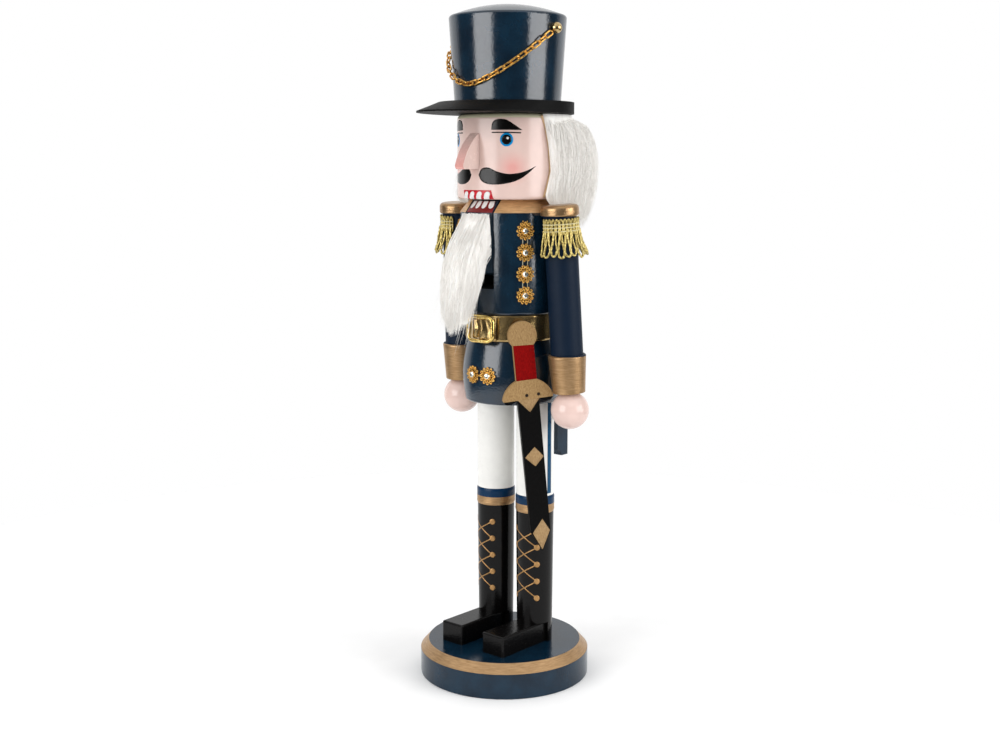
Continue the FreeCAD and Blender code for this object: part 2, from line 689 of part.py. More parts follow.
buckle = new_body("belt_buckle")
half_width = as_size("buckle_width") * 0.5
half_height = as_size("buckle_height") * 0.5
buckle_plate = pad(buckle, [
    (-half_width, -half_height), (half_width, -half_height),
    (half_width, half_height), (-half_width, half_height),
], "buckle_depth", "XZ_Plane")
buckle_round = round_edges(buckle, buckle_plate, "buckle_corner", lambda edge: edge.BoundBox.YLength > 1)
window_width = half_width - "buckle_bar"
window_height = half_height - "buckle_bar"
pocket(buckle, [
    (-window_width, -window_height), (window_width, -window_height),
    (window_width, window_height), (-window_width, window_height),
], "buckle_blank", "XZ_Plane")
place(buckle, "buckle_offset", as_size("buckle_front") + as_size("buckle_depth") * 0.5, "buckle_middle")
nodes["belt_buckle"] = buckle

# ---- gilt flowers and their stones -----------------------------------------------------------------------

def flower_shape():
    """A gilt flower about +Z, its back on the plane z = 0, hollow in the middle for its stone."""
    thick = number("flower_thickness")
    petal = number("petal_radius")
    core = Part.makeCylinder(number("flower_core") + petal, thick * number("flower_dish"))
    petals = []
    for index in range(int(number("flower_petals"))):
        turn = 2 * math.pi * index / number("flower_petals")
        reach = number("flower_radius") - petal
        spot = FreeCAD.Vector(reach * math.cos(turn), reach * math.sin(turn), 0)
        petals.append(Part.makeCylinder(petal, thick, spot))
    seat = Part.makeCylinder(number("stone_radius"), thick)
    return core.multiFuse(petals).cut(seat)


def stone_shape():
    """A faceted stone about +Z: a short rod with a cone on it, in the flower's seat."""
    radius = number("stone_radius")
    high = number("stone_height")
    rod = Part.makeCylinder(radius, high)
    table = Part.makeCone(radius, radius / 2, high / 2, FreeCAD.Vector(0, 0, high))
    return rod.fuse(table)


def set_around(shape, radius, angle, height):
    laid = shape.copy()
    laid.Placement = FreeCAD.Placement(
        around(number("torso_setback"), radius, angle, height), outward(angle))
    return laid


def make_flowers(label, spots, radius):
    """Two nodes: the gilt flowers at the spots, (angle, height), and the stones in them."""
    for kind, shape in (("trim", flower_shape()), ("stones", stone_shape())):
        several = doc.addObject("Part::Feature", f"{label}_{kind}")
        several.Shape = Part.makeCompound([set_around(shape, radius, *spot) for spot in spots])
        nodes[f"{label}_{kind}"] = several


button_heights = [
    number("button_top") - index * number("button_pitch")
    for index in range(int(number("buttons_in_row")))
]
for name, sign in (("left", 1), ("right", -1)):
    row_spots = [(sign * number("button_angle"), height) for height in button_heights]
    make_flowers(f"{name}_button", row_spots, number("chest_radius") + number("dimple"))
skirt_spots = [
    (number("skirt_flower_middle") + sign * number("skirt_flower_angle"), number("skirt_flower_height"))
    for sign in (1, -1)
]
make_flowers("skirt", skirt_spots, number("skirt_radius") + number("dimple"))

# ---- sword ---------------------------------------------------------------------------------------

def sword_rotation():
    lean = FreeCAD.Rotation(FreeCAD.Vector(0, 0, 1), number("sword_lean"))
    return outward(number("sword_angle")) * lean


def sword_point(across, up, out):
    """A point of the sword's own frame: across its face, up it and out from its back."""
    hung = around(number("torso_setback"), number("sword_distance"), number("sword_angle"),
                  number("sword_height"))
    turn = math.radians(number("sword_angle"))
    side = FreeCAD.Vector(math.cos(turn), math.sin(turn), 0) * number("sword_side")
    return hung + side + sword_rotation().multVec(FreeCAD.Vector(across, up, out))


def sword_outline():
    """Half of the outline below the pommel, from the top down, as (across, up, edge radius)."""
    return [
        ("grip_half", "grip_top"),
        ("grip_half", "grip_bottom"),
        ("guard_half", "guard_end", "guard_crown_radius"),
        ("lobe_half", "lobe_bottom", "lobe_end_radius"),
        ("notch_half", "notch_height", "lobe_radius"),
        ("blade_half_top", "blade_top"),
        ("blade_half_bottom", "blade_shoulder"),
    ]


def mirrored(half):
    """The same corners on the other side, from the bottom up, each edge keeping its bend."""
    corners = []
    for index in range(len(half) - 1, -1, -1):
        bend = half[index + 1][2:] if index + 1 < len(half) else ()
        corners.append((-as_size(half[index][0]), half[index][1]) + bend)
    return corners


sword_half = sword_outline()
sword_blade = new_body("sword_blade")
right_run = [corner[:2] + tuple(-as_size(bend) for bend in corner[2:]) for corner in sword_half]
left_run = [corner[:2] + tuple(-as_size(bend) for bend in corner[2:]) for corner in mirrored(sword_half)]
blade_pad = pad(sword_blade, right_run + [(0, "sword_tip")] + left_run, "sword_thickness", "XY_Plane")
middle_out = number("sword_thickness") / 2
sword_blade.Placement = FreeCAD.Placement(sword_point(0, 0, middle_out), sword_rotation())
pommel = doc.addObject("Part::Cylinder", "sword_pommel")
bind(pommel, Radius="pommel_radius", Height="sword_thickness")
pommel.Placement = FreeCAD.Placement(sword_point(0, 0, 0), sword_rotation())
sword_blank = fused("sword_blank", [sword_blade, pommel])


def make_nail(index, side):
    """A brass nail through the guard into the skirt."""
    across = number("nail_side") + side * number("nail_spread")
    front = sword_point(across, number("nail_drop"), number("sword_thickness"))
    inner = sword_point(across, number("nail_drop"),
                        number("sword_thickness") - number("nail_length"))
    shank = doc.addObject("Part::Cylinder", f"nail_shank_{index}")
    bind(shank, Radius="nail_radius", Height="nail_length")
    shank.Placement = FreeCAD.Placement(inner, sword_rotation())
    head = doc.addObject("Part::Cone", f"nail_head_{index}")
    bind(head, Radius1="nail_head_radius", Radius2="nail_radius", Height="nail_head")
    head.Placement = FreeCAD.Placement(front, sword_rotation())
    return fused(f"sword_nail_{index}", [shank, head])


nails = [make_nail(index, side) for index, side in enumerate((1, -1))]
nodes["sword_nails"] = group("sword_nails", nails)
nodes["sword"] = cut_from("sword", sword_blank, nodes["sword_nails"])
nodes["torso"] = cut_from("torso", torso_bored, nodes["sword_nails"])

# ---- lever, jaw and beard ------------------------------------------------------------------------

lever = new_body("lever_blank")
pad(lever, [
    ("jaw_front", "jaw_bottom"),
    ("jaw_back", "arm_bottom"),
    (as_size("tail_front") - "lever_corner", "arm_bottom"),
    ("tail_front", as_size("arm_bottom") - "lever_corner", -as_size("lever_corner")),
    ("tail_front", as_size("tail_bottom") + "tail_toe"),
    (as_size("tail_front") + "tail_toe", "tail_bottom", -as_size("tail_toe")),
    ("tail_back", "tail_bottom"),
    ("tail_back", as_size("arm_top") - "lever_corner"),
    (as_size("tail_back") - "lever_corner", "arm_top", -as_size("lever_corner")),
    ("jaw_back", "arm_top"),
    ("jaw_back", "jaw_top"),
    ("jaw_front", "jaw_top"),
], "lever_width")
jaw_lathe = new_body("jaw_lathe")
revolve(jaw_lathe, [
    (-as_size("chest_radius"), as_size("jaw_bottom") - "jaw_drop"),
    (-as_size("chest_radius"), "chest_top"),
    (-as_size("neck_radius"), "neck_top"),
    (-as_size("neck_radius"), as_size("neck_top") + "head_room"),
    (-as_size("overshoot"), as_size("neck_top") + "head_room"),
    (-as_size("overshoot"), as_size("jaw_bottom") - "jaw_drop"),
], as_size("overshoot"), "YZ_Plane")
place(jaw_lathe, 0, "torso_setback")
pivot_bore = cross_rod("pivot_bore", as_size("pin_radius") + "pin_clearance",
                       as_size("lever_width"), 0, "pivot_setback", "pivot_height")
lever_tools = fused("lever_tools", [jaw_lathe, pivot_bore])
nodes["jaw_lever"] = cut_from("jaw_lever", lever, lever_tools)


def beard_section(level, half_name, depth):
    """A closed, rounded section of the beard at one height, from its back to its crown."""
    height = number(level)
    half = number(half_name)
    back = number(f"{depth}_back")
    front = number(f"{depth}_front")
    corner = half * number("beard_corner")
    points = [
        FreeCAD.Vector(-half, back, height),
        FreeCAD.Vector(-corner, (back + front) / 2, height),
        FreeCAD.Vector(0, front, height),
        FreeCAD.Vector(corner, (back + front) / 2, height),
        FreeCAD.Vector(half, back, height),
    ]
    face = Part.BSplineCurve()
    face.interpolate(points)
    return Part.Wire([face.toShape(), Part.makeLine(points[-1], points[0])])


def beard_shape():
    """Lofted through sections from the jaw's front down to the tip, clear of the chest."""
    sections = [
        beard_section("beard_top", "beard_half_top", "beard_root"),
        beard_section("beard_upper", "beard_upper_half", "beard_upper"),
        beard_section("beard_middle", "beard_half_middle", "beard_middle"),
        beard_section("beard_lower", "beard_lower_half", "beard_lower"),
        beard_section("beard_tip", "beard_half_tip", "beard_tip"),
    ]
    return Part.makeLoft(sections, True, False)


beard = doc.addObject("Part::Feature", "beard")
beard.Shape = beard_shape()
nodes["beard"] = beard

# ---- hair ----------------------------------------------------------------------------------------

hair = new_body("hair")
revolve(hair, [
    ("hair_inner", "hair_bottom"),
    ("hair_outer", "hair_bottom"),
    ("hair_outer", as_size("hair_top") - "hair_edge"),
    (as_size("hair_outer") - "hair_edge", "hair_top", "hair_edge"),
    ("hair_inner", "hair_top"),
], as_size(FULL_TURN) - as_size("hair_open") * 2, "YZ_Plane")
revolve(hair, [
    ("nape_inner", "nape_bottom"),
    ("nape_outer", "nape_bottom"),
    ("nape_outer", as_size("hair_bottom") + "nape_lap"),
    ("nape_inner", as_size("hair_bottom") + "nape_lap"),
], "nape_sweep", "YZ_Plane")
place(hair, 0, "head_setback")
nodes["hair"] = hair

# ---- check and write -----------------------------------------------------------------------------

doc.recompute()
for thing in doc.Objects:
    if "Invalid" in thing.State or "Error" in thing.State:
        raise ValueError(f"{thing.Name} did not compute: {thing.State}")
for label, node in nodes.items():
    node.Label = label
    shape = node.Shape
    if shape.isNull() or not shape.isValid() or not shape.Solids:
        raise ValueError(f"{label} is not a valid solid")
    shape.exportStep(f"parts/{label}.step")
    bounds = shape.BoundBox
    print(f"{label:20s} {len(shape.Solids):3d} solids {shape.Volume:10.1f} mm3 "
          f"X {bounds.XMin:.1f}..{bounds.XMax:.1f} Y {bounds.YMin:.1f}..{bounds.YMax:.1f} "
          f"Z {bounds.ZMin:.1f}..{bounds.ZMax:.1f}")
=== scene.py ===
"""Looks of the wooden nutcracker figure: lacquer, gilt paint, fur, fringes and foil over the CAD frame.

Object space is the row frame in metres. Sizes below are millimetres, turned into metres by MM.
"""
import math
from math import cos, exp, pi, radians, sin, sqrt
import bpy
import numpy as np
from mathutils import Matrix, Vector
from mathutils.geometry import delaunay_2d_cdt


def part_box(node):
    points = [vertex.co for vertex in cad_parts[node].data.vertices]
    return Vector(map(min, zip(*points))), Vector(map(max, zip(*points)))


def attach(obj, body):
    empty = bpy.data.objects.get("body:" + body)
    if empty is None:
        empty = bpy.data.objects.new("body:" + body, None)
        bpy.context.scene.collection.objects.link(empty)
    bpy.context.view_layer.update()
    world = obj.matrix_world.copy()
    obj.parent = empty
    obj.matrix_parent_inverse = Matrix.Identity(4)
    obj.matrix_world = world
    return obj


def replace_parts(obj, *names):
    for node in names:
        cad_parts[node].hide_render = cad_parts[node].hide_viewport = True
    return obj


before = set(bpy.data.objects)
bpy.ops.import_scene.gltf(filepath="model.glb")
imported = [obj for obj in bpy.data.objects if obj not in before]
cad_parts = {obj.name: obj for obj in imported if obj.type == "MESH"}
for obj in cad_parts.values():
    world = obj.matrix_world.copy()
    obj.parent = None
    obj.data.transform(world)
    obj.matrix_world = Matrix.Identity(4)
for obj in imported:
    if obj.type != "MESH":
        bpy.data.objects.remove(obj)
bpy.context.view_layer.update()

scene = bpy.context.scene
MM = 0.001
FIGURE, JAW = "figure", "jaw"

# ---- what the frame says ----


def box(node):
    """A CAD node's lowest and highest corners in millimetres."""
    low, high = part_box(node)
    return np.array(low) / MM, np.array(high) / MM


def middle(node):
    low, high = box(node)
    return (low + high) / 2


def half_width(node):
    low, high = box(node)
    return (high[0] - low[0]) / 2


AXIS_TORSO, R_CHEST = middle("torso")[1], half_width("torso")
AXIS_HEAD, R_HEAD = middle("head")[1], half_width("head")


# ---- small geometry kit ----


def around(axis_y, radius, degrees, height):
    """A point about an upright axis; the angle runs from the front, -Y, towards +X."""
    turn = radians(degrees)
    return Vector((radius * sin(turn), axis_y - radius * cos(turn), height))


def facing(degrees, at):
    """A frame at a point: X across, Y up, Z away from the figure's upright axis."""
    turn = radians(degrees)
    across = Vector((cos(turn), sin(turn), 0))
    away = Vector((sin(turn), -cos(turn), 0))
    return Matrix.Translation(at) @ Matrix((across, (0, 0, 1), away)).transposed().to_4x4()


def linked(name, mesh, body):
    """Puts a mesh in the scene, riding on a body if there is one."""
    piece = bpy.data.objects.new(name, mesh)
    scene.collection.objects.link(piece)
    if body:
        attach(piece, body)
    return piece


class Shape:
    """Collects vertices and faces in millimetres, then becomes one mesh object."""

    def __init__(self):
        self.points = []
        self.faces = []
        self.slots = []

    def add(self, points, faces, slot=0, matrix=None):
        start = len(self.points)
        if matrix is not None:
            points = [matrix @ Vector(point) for point in points]
        self.points.extend(tuple(point) for point in points)
        self.faces.extend(tuple(start + index for index in face) for face in faces)
        self.slots.extend([slot] * len(faces))

    def object(self, name, materials, body, smooth=True):
        mesh = bpy.data.meshes.new(name)
        mesh.from_pydata([tuple(c * MM for c in point) for point in self.points], [], self.faces)
        for material in materials:
            mesh.materials.append(material)
        mesh.polygons.foreach_set("material_index", self.slots)
        mesh.polygons.foreach_set("use_smooth", [smooth] * len(self.faces))
        mesh.update()
        return linked(name, mesh, body)


def solid(name, points, faces, material, body):
    shape = Shape()
    shape.add(points, faces)
    return shape.object(name, [material], body)


def grid_faces(rows, columns, wrap=False, loop=False):
    """Faces of a grid of points; wrap closes each row, and loop joins the last row to the first."""
    faces = []
    for row in range(rows if loop else rows - 1):
        for column in range(columns if wrap else columns - 1):
            right = (column + 1) % columns
            up = (row + 1) % rows
            faces.append((row * columns + column, row * columns + right,
                          up * columns + right, up * columns + column))
    return faces


def flipped(faces):
    return [tuple(reversed(face)) for face in faces]


def end_caps(rows, columns):
    """Flat ends for a grid whose rows are closed."""
    return [tuple(reversed(range(columns))), tuple(range((rows - 1) * columns, rows * columns))]


def path_frames(path, closed):
    """Two normals at each point of a path, turning as little as they can."""
    count = len(path)
    tangents = []
    for index in range(count):
        before = path[index - 1] if index or closed else path[index]
        after = path[(index + 1) % count] if index < count - 1 or closed else path[index]
        tangents.append((after - before).normalized())
    side = tangents[0].orthogonal().normalized()
    frames = []
    for tangent in tangents:
        side = (side - tangent * side.dot(tangent)).normalized()
        frames.append((side, tangent.cross(side)))
    return frames


def tube(path, radius, sides, closed=False, squash=1.0, ply=0.0, twist=0.0):
    """Points and faces of a tube. ply ridges it like twisted strands, twist radians per millimetre."""
    path = [Vector(point) for point in path]
    frames = path_frames(path, closed)
    points = []
    run = 0.0
    for index, (place, (side, rise)) in enumerate(zip(path, frames)):
        if index:
            run += (place - path[index - 1]).length
        wide = radius[index] if isinstance(radius, (list, tuple)) else radius
        for step in range(sides):
            turn = 2 * pi * step / sides
            reach = wide * (1 + ply * cos(2 * turn - twist * run))
            points.append(place + side * (reach * cos(turn)) + rise * (reach * squash * sin(turn)))
    faces = grid_faces(len(path), sides, loop=closed, wrap=True)
    if not closed:
        faces += end_caps(len(path), sides)
    return points, faces


def polar(radius, turn, height):
    """A point about Z; the angle is in radians from X."""
    return (radius * cos(turn), radius * sin(turn), height)


def full_turn(count):
    """That many even angles round a circle, in radians."""
    return np.linspace(0, 2 * pi, count, endpoint=False)


def circle(radius, height, count):
    return [polar(radius, turn, height) for turn in full_turn(count)]


def lathe(profile, steps):
    """Points and faces of a turned shape about Z from (radius, height) pairs."""
    points = [polar(radius, 2 * pi * step / steps, height)
              for radius, height in profile for step in range(steps)]
    return points, grid_faces(len(profile), steps, wrap=True)


def slab_faces(rows, columns):
    """Faces of two equal grids of points, the first one inwards, joined round their border."""
    count = rows * columns
    grid = grid_faces(rows, columns)
    faces = flipped(grid)
    faces += [tuple(index + count for index in face) for face in grid]
    border = list(range(columns))
    border += [row * columns + columns - 1 for row in range(1, rows)]
    border += [(rows - 1) * columns + step for step in range(columns - 2, -1, -1)]
    border += [row * columns for row in range(rows - 2, 0, -1)]
    return faces + [(a, b, b + count, a + count) for a, b in zip(border, border[1:] + border[:1])]


def smooth_run(points, per_span):
    """A smooth curve through the points, end points kept."""
    points = [np.array(point, float) for point in points]
    padded = [points[0] * 2 - points[1]] + points + [points[-1] * 2 - points[-2]]
    curve = []
    for p0, p1, p2, p3 in zip(padded, padded[1:], padded[2:], padded[3:]):
        for step in range(per_span):
            t = step / per_span
            curve.append(0.5 * (2 * p1 + (p2 - p0) * t + (2 * p0 - 5 * p1 + 4 * p2 - p3) * t ** 2
                                + (3 * p1 - p0 - 3 * p2 + p3) * t ** 3))
    return curve + [points[-1]]


def filled(outline, pitch):
    """Triangles inside a closed flat outline, with points every pitch along it and within it."""
    corners = [Vector((float(p[0]), float(p[1]))) for p in outline]
    outline = []
    for here, there in zip(corners, corners[1:] + corners[:1]):
        parts = max(1, math.ceil((there - here).length / pitch))
        outline.extend(here.lerp(there, part / parts) for part in range(parts))
    xs = [p.x for p in outline]
    ys = [p.y for p in outline]
    inner = [Vector((x, y)) for x in np.arange(min(xs) + pitch / 2, max(xs), pitch)
             for y in np.arange(min(ys) + pitch / 2, max(ys), pitch)]
    found = delaunay_2d_cdt(outline + inner, [], [list(range(len(outline)))], 1, 1e-5)
    return [tuple(p) for p in found[0]], [tuple(face) for face in found[2]]


PAINT_RISE, PAINT_SINK = 0.045, 0.1
COAT = 0.05  # how far a second coat of paint lies above the first


def paint_layer(shape, outline, place, pitch=0.9, slot=0):
    """A film of paint: the outline filled, laid by place(across, up, lift), and closed behind."""
    flat, faces = filled(outline, pitch)
    count = len(flat)
    top = [place(x, y, PAINT_RISE) for x, y in flat]
    under = [place(x, y, -PAINT_SINK) for x, y in flat]
    edges = dict.fromkeys(edge for face in faces for edge in zip(face, face[1:] + face[:1]))
    wall = [(b, a, a + count, b + count) for a, b in edges if (b, a) not in edges]
    back = [tuple(count + index for index in reversed(face)) for face in faces]
    shape.add(top + under, faces + back + wall, slot)


def strip(left, right, low, high):
    return [(left, low), (right, low), (right, high), (left, high)]


def disc(radius, x, y, count=40):
    return [(x + radius * cos(turn), y + radius * sin(turn)) for turn in full_turn(count)]


def stroke(points, width):
    """The outline of a line of that width through the points, square at its ends."""
    points = [np.array(point, float) for point in points]
    left, right = [], []
    for index, point in enumerate(points):
        before = points[max(index - 1, 0)]
        after = points[min(index + 1, len(points) - 1)]
        along = (after - before) / np.linalg.norm(after - before)
        side = np.array((-along[1], along[0])) * width / 2
        left.append(point + side)
        right.append(point - side)
    return right + left[::-1]


# ---- materials ----


def rgb(red, green, blue):
    """A linear colour from screen values of 0 to 255."""
    def linear(value):
        value /= 255
        return value / 12.92 if value <= 0.04045 else ((value + 0.055) / 1.055) ** 2.4
    return (linear(red), linear(green), linear(blue), 1)


def darker(color, share):
    return tuple(channel * share for channel in color[:3]) + (1,)


class Nodes:
    """Short calls for the nodes of a material or a world."""

    def __init__(self, owner, coordinates):
        owner.use_nodes = True
        self.nodes = owner.node_tree.nodes
        self.links = owner.node_tree.links
        self.place = self.nodes.new("ShaderNodeTexCoord").outputs[coordinates]

    def put(self, socket, value):
        if isinstance(value, bpy.types.NodeSocket):
            self.links.new(value, socket)
        else:
            socket.default_value = value

    def node(self, kind, inputs, output=0, **settings):
        made = self.nodes.new("ShaderNode" + kind)
        for setting, value in settings.items():
            setattr(made, setting, value)
        for key, value in inputs.items():
            self.put(made.inputs[key], value)
        return made.outputs[output]

    def math(self, operation, first, second, clamp=False):
        return self.node("Math", {0: first, 1: second}, operation=operation, use_clamp=clamp)

    def measure(self, operation, first, second):
        """The dot product of two vectors, or their distance."""
        return self.node("VectorMath", {0: first, 1: second}, "Value", operation=operation)


class Finish(Nodes):
    """A Principled material whose finish is built up step by step."""

    def __init__(self, name, **sockets):
        self.material = bpy.data.materials.new(name)
        super().__init__(self.material, "Object")
        self.shader = self.nodes["Principled BSDF"]
        for socket, value in sockets.items():
            self.shader.inputs[socket.replace("_", " ")].default_value = value
        self.normal = None

    def noise(self, scale, detail, stretch=None, rough=0.5):
        """Noise of that many features per metre, stretched by a factor on each axis."""
        place = self.place
        if stretch:
            place = self.node("VectorMath", {0: place, 1: stretch}, operation="MULTIPLY")
        return self.node("TexNoise",
                         {"Vector": place, "Scale": scale, "Detail": detail, "Roughness": rough})

    def spread(self, value, low, high, to_low=0.0, to_high=1.0):
        return self.node("MapRange", {
            "Value": value, "From Min": low, "From Max": high, "To Min": to_low, "To Max": to_high})

    def cloud(self, scale, detail, low, high, to_low=0.0, to_high=1.0):
        return self.spread(self.noise(scale, detail), low, high, to_low, to_high)

    def axis(self, name):
        return self.node("SeparateXYZ", {0: self.place}, output=name)

    def above(self, millimetres, axis="Z"):
        return self.math("GREATER_THAN", self.axis(axis), millimetres * MM)

    def below(self, millimetres, axis="Z"):
        return self.math("LESS_THAN", self.axis(axis), millimetres * MM)

    def both(self, first, second):
        return self.math("MULTIPLY", first, second)

    def inside(self, low, high, axis="Z"):
        return self.both(self.above(low, axis), self.below(high, axis))

    def mix(self, share, first, second):
        return self.node("Mix", {0: share, 6: first, 7: second}, output=2, data_type="RGBA")

    def mix_value(self, share, first, second):
        return self.node("Mix", {0: share, 2: first, 3: second})

    def bump(self, height, millimetres, strength):
        """Raises the surface by a height of 0 to 1, on top of any bump before."""
        inputs = {"Strength": strength, "Distance": millimetres * MM, "Height": height}
        if self.normal is not None:
            inputs["Normal"] = self.normal
        self.normal = self.node("Bump", inputs, "Normal")

    def done(self, color, roughness=None, metallic=None):
        for socket, value in (("Base Color", color), ("Roughness", roughness),
                              ("Metallic", metallic), ("Normal", self.normal)):
            if value is not None:
                self.put(self.shader.inputs[socket], value)
        return self.material


NAVY = rgb(11, 39, 57)
NAVY_DEEP = rgb(6, 28, 44)
GOLD_PAINT = rgb(186, 152, 112)
GOLD_SHADE = rgb(150, 118, 82)
COLLAR_PAINT = rgb(222, 180, 128)
COLLAR_SHADE = rgb(178, 138, 92)
BOARD_GOLD = rgb(164, 134, 92)
BOARD_SHADE = rgb(136, 107, 70)
BLACK = rgb(9, 8, 8)
WHITE = rgb(232, 231, 227)
FLESH = rgb(224, 196, 187)
BLUSH = rgb(226, 134, 128)


def give(nodes, material):
    """Makes a material the only one of the CAD nodes named."""
    for node in nodes.split():
        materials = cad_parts[node].data.materials
        materials.clear()
        materials.append(material)


PEEL = 1.15 * MM  # the size of the lacquer's orange peel


def lacquer_speckle(look):
    """Orange peel and finer dust under a gloss coat."""
    look.bump(look.noise(1 / PEEL, 1), 0.05, 0.9)
    look.bump(look.noise(2.6 / PEEL, 1), 0.014, 0.9)


def navy_tone(look):
    return look.mix(look.cloud(90, 3, 0.35, 0.65), NAVY_DEEP, NAVY)


def brush_streaks(look):
    """Thin level streaks, as a turned piece gets from the brush."""
    return look.noise(190, 4, stretch=(1, 1, 14), rough=0.65)


def gold_tone(look):
    streak = brush_streaks(look)
    look.bump(streak, 0.06, 0.5)
    return look.mix(look.spread(streak, 0.35, 0.68), GOLD_SHADE, GOLD_PAINT)


def collar_tone(look):
    """A paler and flatter coat of the brushed gold."""
    return look.mix(look.spread(brush_streaks(look), 0.35, 0.68), COLLAR_SHADE, COLLAR_PAINT)


def painted(name, bands, speckle=True, ior=1.45):
    """Paint on one piece: a (colour, roughness, metal) ground, then bands with a mask in front."""
    look = Finish(name, IOR=ior)
    color_of, rough, metal = bands[0]
    color = color_of(look)
    for mask_of, color_of, band_rough, band_metal in bands[1:]:
        tone = color_of(look)
        mask = mask_of(look)
        color = look.mix(mask, color, tone)
        rough = look.mix_value(mask, rough, band_rough)
        metal = look.mix_value(mask, metal, band_metal)
    if speckle:
        lacquer_speckle(look)
    wear = look.cloud(700, 3, 0.3, 0.7, -0.04, 0.06)
    rough = look.math("ADD", rough, wear, clamp=True)
    return look.done(color, rough, metal)


def plain(color):
    """One colour with faint darker clouds."""
    def tone(look):
        cloud = look.cloud(140, 3, 0.35, 0.65, 0.0, 0.35)
        return look.mix(cloud, color, darker(color, 0.86))
    return tone


GLOSS, SLEEVE_ROUGH, METAL_ROUGH = 0.15, 0.5, 0.38
LACQUER_IOR, BLACK_IOR = 1.62, 1.26
RIM_LOW = 13.35  # the stand's gilt chamfer
COLLAR_LOW = 246.3
SLOT_HALF, SLOT_LOW = 9.53, 207.95  # the coat's blackened slot for the lever
base_high = box("base")[1][2]
give("base", painted("base_lacquer", ior=1.38, bands=[
    (navy_tone, GLOSS, 0.0),
    (lambda f: f.inside(RIM_LOW, base_high - 0.03), gold_tone, METAL_ROUGH, 0.75),
]))
give("torso", painted("coat_lacquer", ior=LACQUER_IOR, bands=[
    (navy_tone, GLOSS, 0.0),
    (lambda f: f.above(COLLAR_LOW), collar_tone, METAL_ROUGH, 0.4),
    (lambda f: f.both(f.above(SLOT_LOW), f.inside(-SLOT_HALF, SLOT_HALF, "X")), plain(BLACK), 0.6, 0.0),
]))
give("hat_crown", painted("hat_lacquer", [(navy_tone, GLOSS, 0.0)], ior=LACQUER_IOR))
BOOT_TOP, BAND_MIDDLE, BAND_TOP = 89.0, 93.5, 98.2
give("left_leg right_leg", painted("leg_paint", ior=BLACK_IOR, bands=[
    (plain(BLACK), 0.14, 0.0),
    (lambda f: f.above(BOOT_TOP), gold_tone, METAL_ROUGH, 0.75),
    (lambda f: f.above(BAND_MIDDLE), plain(rgb(4, 44, 76)), 0.3, 0.0),
    (lambda f: f.above(BAND_TOP), plain(WHITE), 0.3, 0.0),
], speckle=False))


def paint_arm(node):
    """A matt sleeve between the gilt cuff, 19.6 mm up, and the gilt cap, 6.1 mm down."""
    low, high = box(node)
    cuff, cap = low[2] + 19.6, high[2] - 6.1
    give(node, painted(node + "_paint", ior=1.24, bands=[
        (plain(rgb(8, 26, 45)), SLEEVE_ROUGH, 0.0),
        (lambda f: f.below(cuff), gold_tone, METAL_ROUGH, 0.8),
        (lambda f: f.above(cap), gold_tone, 0.3, 0.85),
    ]))


give("left_foot right_foot", painted("black_gloss", [(plain(BLACK), 0.22, 0.0)], ior=BLACK_IOR))
give("hat_brim", painted("brim_satin", [(plain(rgb(4, 4, 4)), 0.55, 0.0)], ior=1.2))
give("left_hand right_hand", painted("hand_paint", [(plain(FLESH), 0.09, 0.0)], speckle=False))
give("jaw_lever", painted("lever_paint", [(navy_tone, 0.5, 0.0)]))
paint_arm("left_arm")
paint_arm("right_arm")


CHEEK_TURN, CHEEK_LEVEL = 43, 268.5
CREAM_RING_LOW = 293.3  # above this height the head is cream, a thin ring under the hat


def face_finish():
    """Flesh paint with a soft rosy cheek on each side."""
    look = Finish("face_paint", IOR=1.45)
    base = plain(FLESH)(look)
    for sign in (1, -1):
        cheek = around(AXIS_HEAD, R_HEAD, sign * CHEEK_TURN, CHEEK_LEVEL) * MM
        gap = look.measure("DISTANCE", look.place, tuple(cheek))
        glow = look.spread(gap, 10 * MM, 1.5 * MM, 0.0, 0.68)
        base = look.mix(look.math("POWER", glow, 1.5), base, BLUSH)
    base = look.mix(look.above(CREAM_RING_LOW), base, rgb(224, 219, 188))
    look.bump(look.noise(300, 2), 0.05, 0.3)
    return look.done(base, look.cloud(500, 3, 0.3, 0.7, 0.16, 0.24))


def nose_finish():
    """Flesh paint, rosier on the ridge towards the tip."""
    look = Finish("nose_paint", IOR=1.45)
    normal = look.node("NewGeometry", {}, output="Normal")
    front = look.measure("DOT_PRODUCT", normal, (0, -1, 0))
    ridge = look.spread(front, 0.25, 0.45)
    low = look.spread(look.axis("Z"), 284 * MM, 270 * MM, 0.05, 0.62)
    color = look.mix(look.both(ridge, low), FLESH, BLUSH)
    look.bump(look.noise(300, 2), 0.05, 0.3)
    return look.done(color, look.cloud(500, 3, 0.3, 0.7, 0.2, 0.3))


def flat_paint(name, color, roughness, metallic=0.0):
    look = Finish(name, Metallic=metallic, IOR=1.35)
    cloud = look.noise(260, 3)
    look.bump(cloud, 0.02, 0.6)
    tone = look.mix(look.spread(cloud, 0.35, 0.65), darker(color, 0.8), color)
    return look.done(tone, look.spread(cloud, 0.3, 0.7, roughness - 0.04, roughness + 0.06))


def board_fibre(look, raised):
    """Short upright fibres."""
    fibre = look.noise(2200, 3, stretch=(1, 1, 0.4), rough=0.7)
    look.bump(fibre, raised, 0.5)
    return fibre


def board_paint(name, color, shade, roughness=0.62, ior=1.4):
    """Paint on fibreboard, whose fibres show through."""
    look = Finish(name, IOR=ior)
    fibre = board_fibre(look, 0.12)
    tone = look.mix(look.spread(fibre, 0.36, 0.62), shade, color)
    return look.done(tone, look.spread(fibre, 0.3, 0.7, roughness + 0.08, roughness - 0.06))


